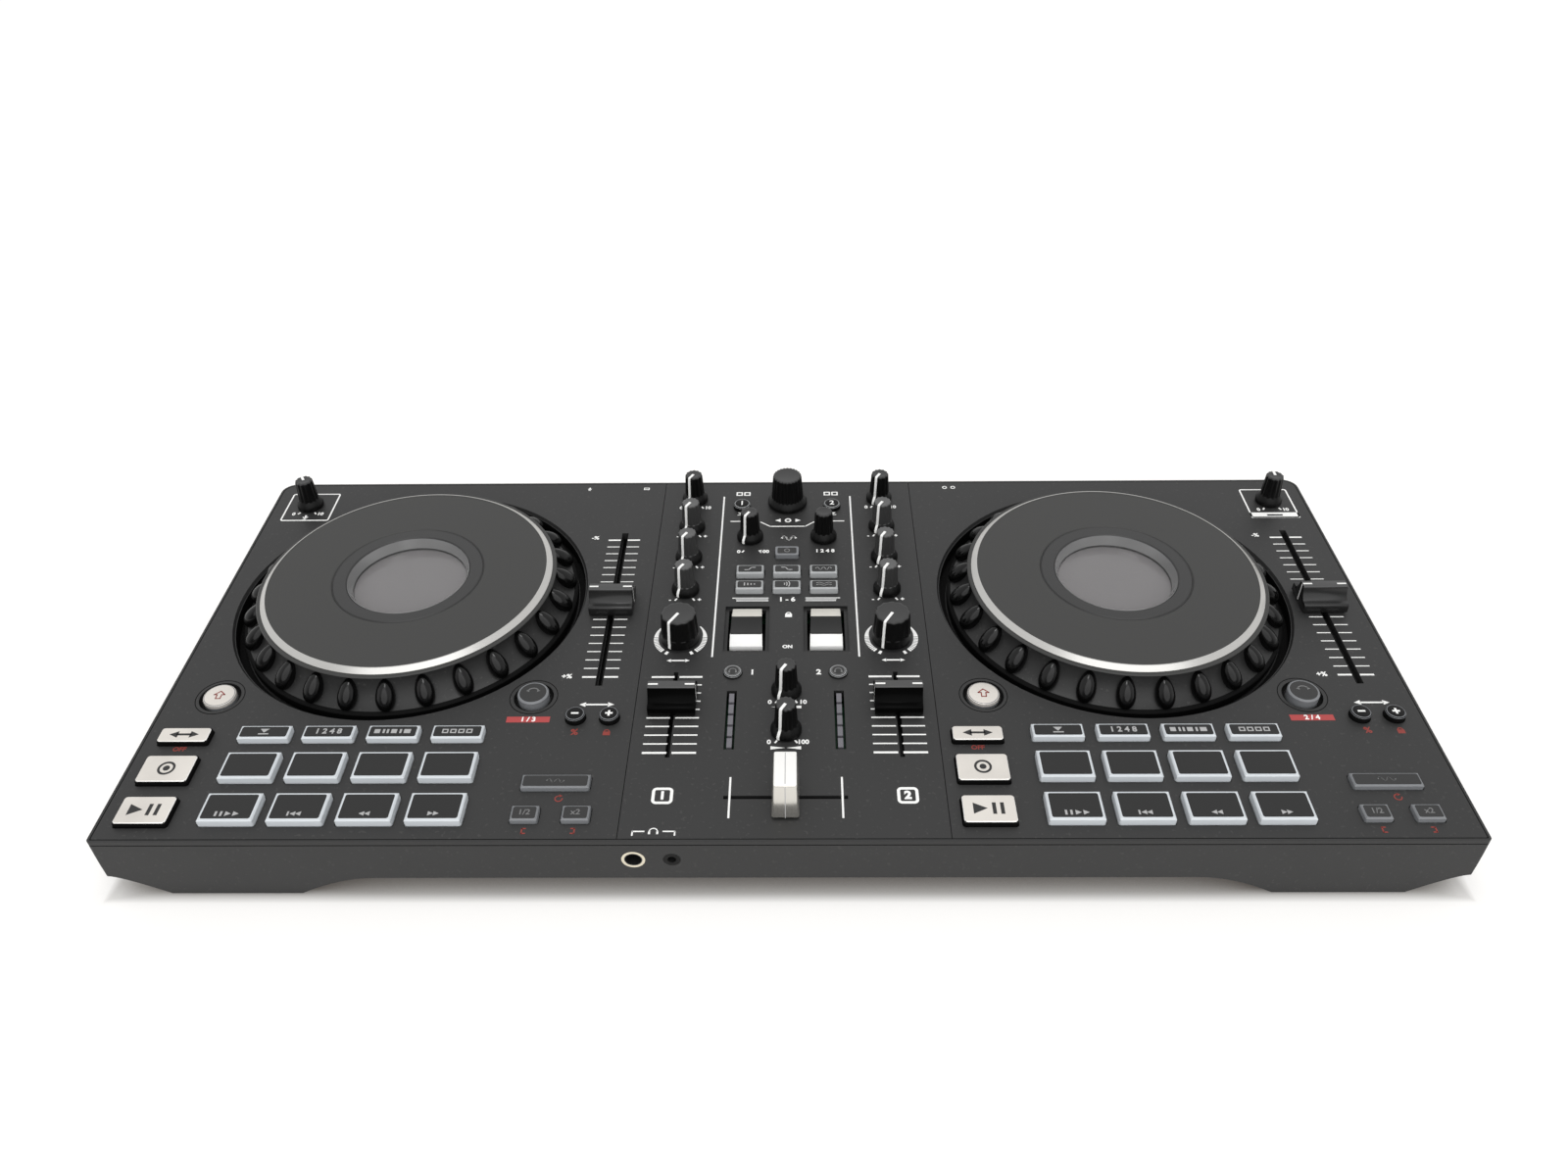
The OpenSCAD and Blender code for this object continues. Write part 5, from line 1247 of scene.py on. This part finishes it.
frame_line(white, -251.8, 223.8, 25.5, 24.5, 0.8, corner=1.4)
frame_line(white, 252.3, 223.3, 25, 25.5, 0.8, corner=1.4)
bar(white, 252.3, 212.7, 25, 4.5)
bar(black, 252.3, 212.7, 8.0, 1.3, INK)
microphone(white, -252, 214.6, 3.6)
knob_ends(-252, 225, "gain", drop=7.4)
knob_ends(252.3, 225, "gain", drop=7.4)
for s in (-1, 1):
    x = s * KNOB_COLUMN
    knob_ends(x, GAIN_Y, "gain")
    for y in TONE_ROWS:
        knob_ends(x, y, "tone")
    for way in (-1, 1):
        filter_arc(x, FILTER_Y, way)
    two_way_arrow(white, x, FILTER_SIGN_Y, 4.2, 2.0, 0.9)
    # A dark ring round the filter knob's foot: partly its wider dark skirt, partly painted shade.
    ring(black, x, FILTER_Y, 9.3, 1.2)
    bar(white, s * 33.3, 168.5, 0.8, 126)
    ring(white, 86.4 + 2.2 * s, SOCKET_SIGN_Y, 1.0, 0.5)
microphone(white, -105.9, SOCKET_SIGN_Y, 2.6)
frame_line(white, -75.3, SOCKET_SIGN_Y, 3.0, 2.0, 0.5)
print("knob signs ready")

# %% Mixer signs
BROWSE_LINES = (
    [(-29, 209.3), (-23.5, 209.3)], [(-13.5, 208.6), (-8.5, 204.8), (9.5, 204.8), (14, 208.6)],
    [(23.5, 209.3), (29.5, 209.3)],
)
for points in BROWSE_LINES:
    stroke(white, points, 0.7)
ring(white, 0.6, 210.0, 1.3, 0.8)
wave(white, 1.1, 194.8, 7.0, 2.8, 1.5, 1.0)
for s in (-1, 1):
    triangle(white, 0.6 + 5.2 * s, 210.0, 2.8, way=s)
    for step in (-1.7, 1.7):
        frame_line(white, s * 23.2 + 1.2 * step, 234.0, 3.4, 3.2, 0.7)
    shape(white, [(s * 24 - 1.5, 217.0), (s * 24, 215.4), (s * 24 + 1.5, 217.0)])
    bar(white, s * 24, 214.9, 3.4, 0.5)
    near, far = 9.0 * s + 0.4, 25.6 * s
    shape(pale, [(near, 145.2), (near, 147.0), (far - 1.0 * s, 147.0), (far - 2.2 * s, 145.2)])
    for y, end in ((147.1, far), (145.1, far - 2.0 * s)):
        stroke(white, [(near, y), (end, y)], 0.6)
letters(white, "1 - 6", 0.4, 146.0, 4.2, bold=0.16)
# Painted shade: dark lines round the paddle openings, where their walls fall into shade.
for x in (-18.2, 18.6):
    frame_line(black, x, 125.25, 21.8, 32.3, 0.5)
padlock(white, 1.2, 135.0, 3.8)
letters(white, "ON", 0.8, 112.3, 2.9, bold=0.13)
knob_ends(-17.6, 190.6, "share", 6.4)
letters(white, "1 2 4 8", 19.2, 184.0, 3.4, bold=0.13)
for s, numeral in zip((-1, 1), "12"):
    letters(white, numeral, s * 14.8, 95.3, 4.4, bold=0.16)
knob_ends(0.5, 83.4, "gain", 7.2)
wedge(white, 0.5, 73.4, 13, 1.6)
knob_ends(0.5, 59.6, "share", 7.2)
for s in (-1, 1):
    wedge(white, 0.4 + 3.4 * s, 49.3, 6.0, 1.8, s)
print("mixer signs ready")

# %% Crossfader lines, numerals and headphone sign
for x in (-22.0, 23.3):
    bar(white, x, 22.3, 0.8, 21.5)
for x, numeral in ((-49, "1"), (49.5, "2")):
    frame_line(white, x, 23.2, 8.6, 8.6, 1.25, corner=2.0)
    letters(white, numeral, x, 23.2, 5.6, bold=0.3)
stroke(white, [(-59.2, 3.0), (-59.2, 5.0), (-54.6, 5.0)], 0.6)
stroke(white, [(-47.2, 5.0), (-42.6, 5.0), (-42.6, 3.0)], 0.6)
headphones(white, -51, 4.9, 3.2)

for colour, ink in prints.items():
    hand_over(f"panel_print_and_shade_{colour}", ink, panel_frame(), "chassis", [INKS[colour]])
print("panel prints", len(prints))

# %% [markdown]
# ## Seams, sockets and screws
# The narrow seams along the front edge are dark because no light reaches into them, and thin black
# bars show that at any sample count. The large jacks have a pale metal ring round the mouth, and the
# two phono sockets are steel barrels with a white and a red insert: small turned parts that sit on
# the CAD sockets. Each case screw has a cross in its head, drawn as two thin bars of shadow black, a
# painted shade for the recess.

# %% Shade in the front seams
SEAM_LENGTH = 520.0
SEAMS = (((0.08, 0.45), (-2.5, -2.0)), ((1.02, 1.38), (-1.45, -0.1)))

seams = bmesh.new()
for (near, far), (bottom, top) in SEAMS:
    middle = Matrix.Translation((0, (near + far) / 2, (bottom + top) / 2))
    bmesh.ops.create_cube(seams, size=1, matrix=middle @ Matrix.Diagonal((SEAM_LENGTH, far - near, top - bottom, 1)))
hand_over("front_seams", seams, panel_frame(), "chassis", [INKS["shadow"]])
print("front seams", len(SEAMS))

# %% Socket details
SOCKET_DROP = 11.0
DEPTH, PHONO_REACH = 245.0, 8.5


def socket_ring(name, x, y, facing, outline, finish):
    """A ring spun about the axis of a socket that faces along y."""
    turn = Matrix.Rotation(math.pi / 2 * facing, 4, "X")
    collar = turned_ring(outline, 48)
    hand_over(name, collar, panel_frame(x, y, -SOCKET_DROP) @ turn, "chassis", [finish])


BIG_JACK = [(3.25, -2), (4.7, -2), (4.7, 0.02), (4.2, 0.06), (3.6, 0.02), (3.25, -0.3)]
SMALL_JACK = [(1.82, -2), (3.4, -2), (3.4, 0.02), (1.82, 0.02)]
PHONO = [(1.65, -4), (3.55, -4), (3.55, 0.02), (1.65, 0.02)]

socket_ring("phones_ring", -59.3, 0.0, 1, BIG_JACK, jack_nickel)
socket_ring("microphone_ring", -106.5, DEPTH, -1, BIG_JACK, jack_nickel)
socket_ring("mini_ring", -44.1, 0.0, 1, SMALL_JACK, knob_black)
for x, finish in ((78.5, socket_white), (92.5, socket_red)):
    socket_ring(f"phono_{finish.name}", x, DEPTH + PHONO_REACH, -1, PHONO, finish)
print("socket details ready")

# %% Screw slots
MIDDLE_HEAD, RUNNER_HEAD = -21.3, -31.0
SLOT_LENGTH, SLOT_WIDTH = 3.0, 0.7
SCREWS = [(x, y, MIDDLE_HEAD) for x in (-64.5, 64.5) for y in (50, 140, 226)]
SCREWS += [(-117, 46, MIDDLE_HEAD), (109.5, 236, MIDDLE_HEAD), (-225, 236, RUNNER_HEAD), (217.5, 46, RUNNER_HEAD)]

# Painted shade: each cross is two shadow-black bars where the recess in the head lies in shade.
slots = bmesh.new()
for x, y, face in SCREWS:
    bar(slots, x, y, SLOT_LENGTH, SLOT_WIDTH, face - INK)
    bar(slots, x, y, SLOT_WIDTH, SLOT_LENGTH, face - INK)
hand_over("screw_slot_shade", slots, panel_frame(), "chassis", [INKS["shadow"]])
print("screw slots", len(SCREWS))
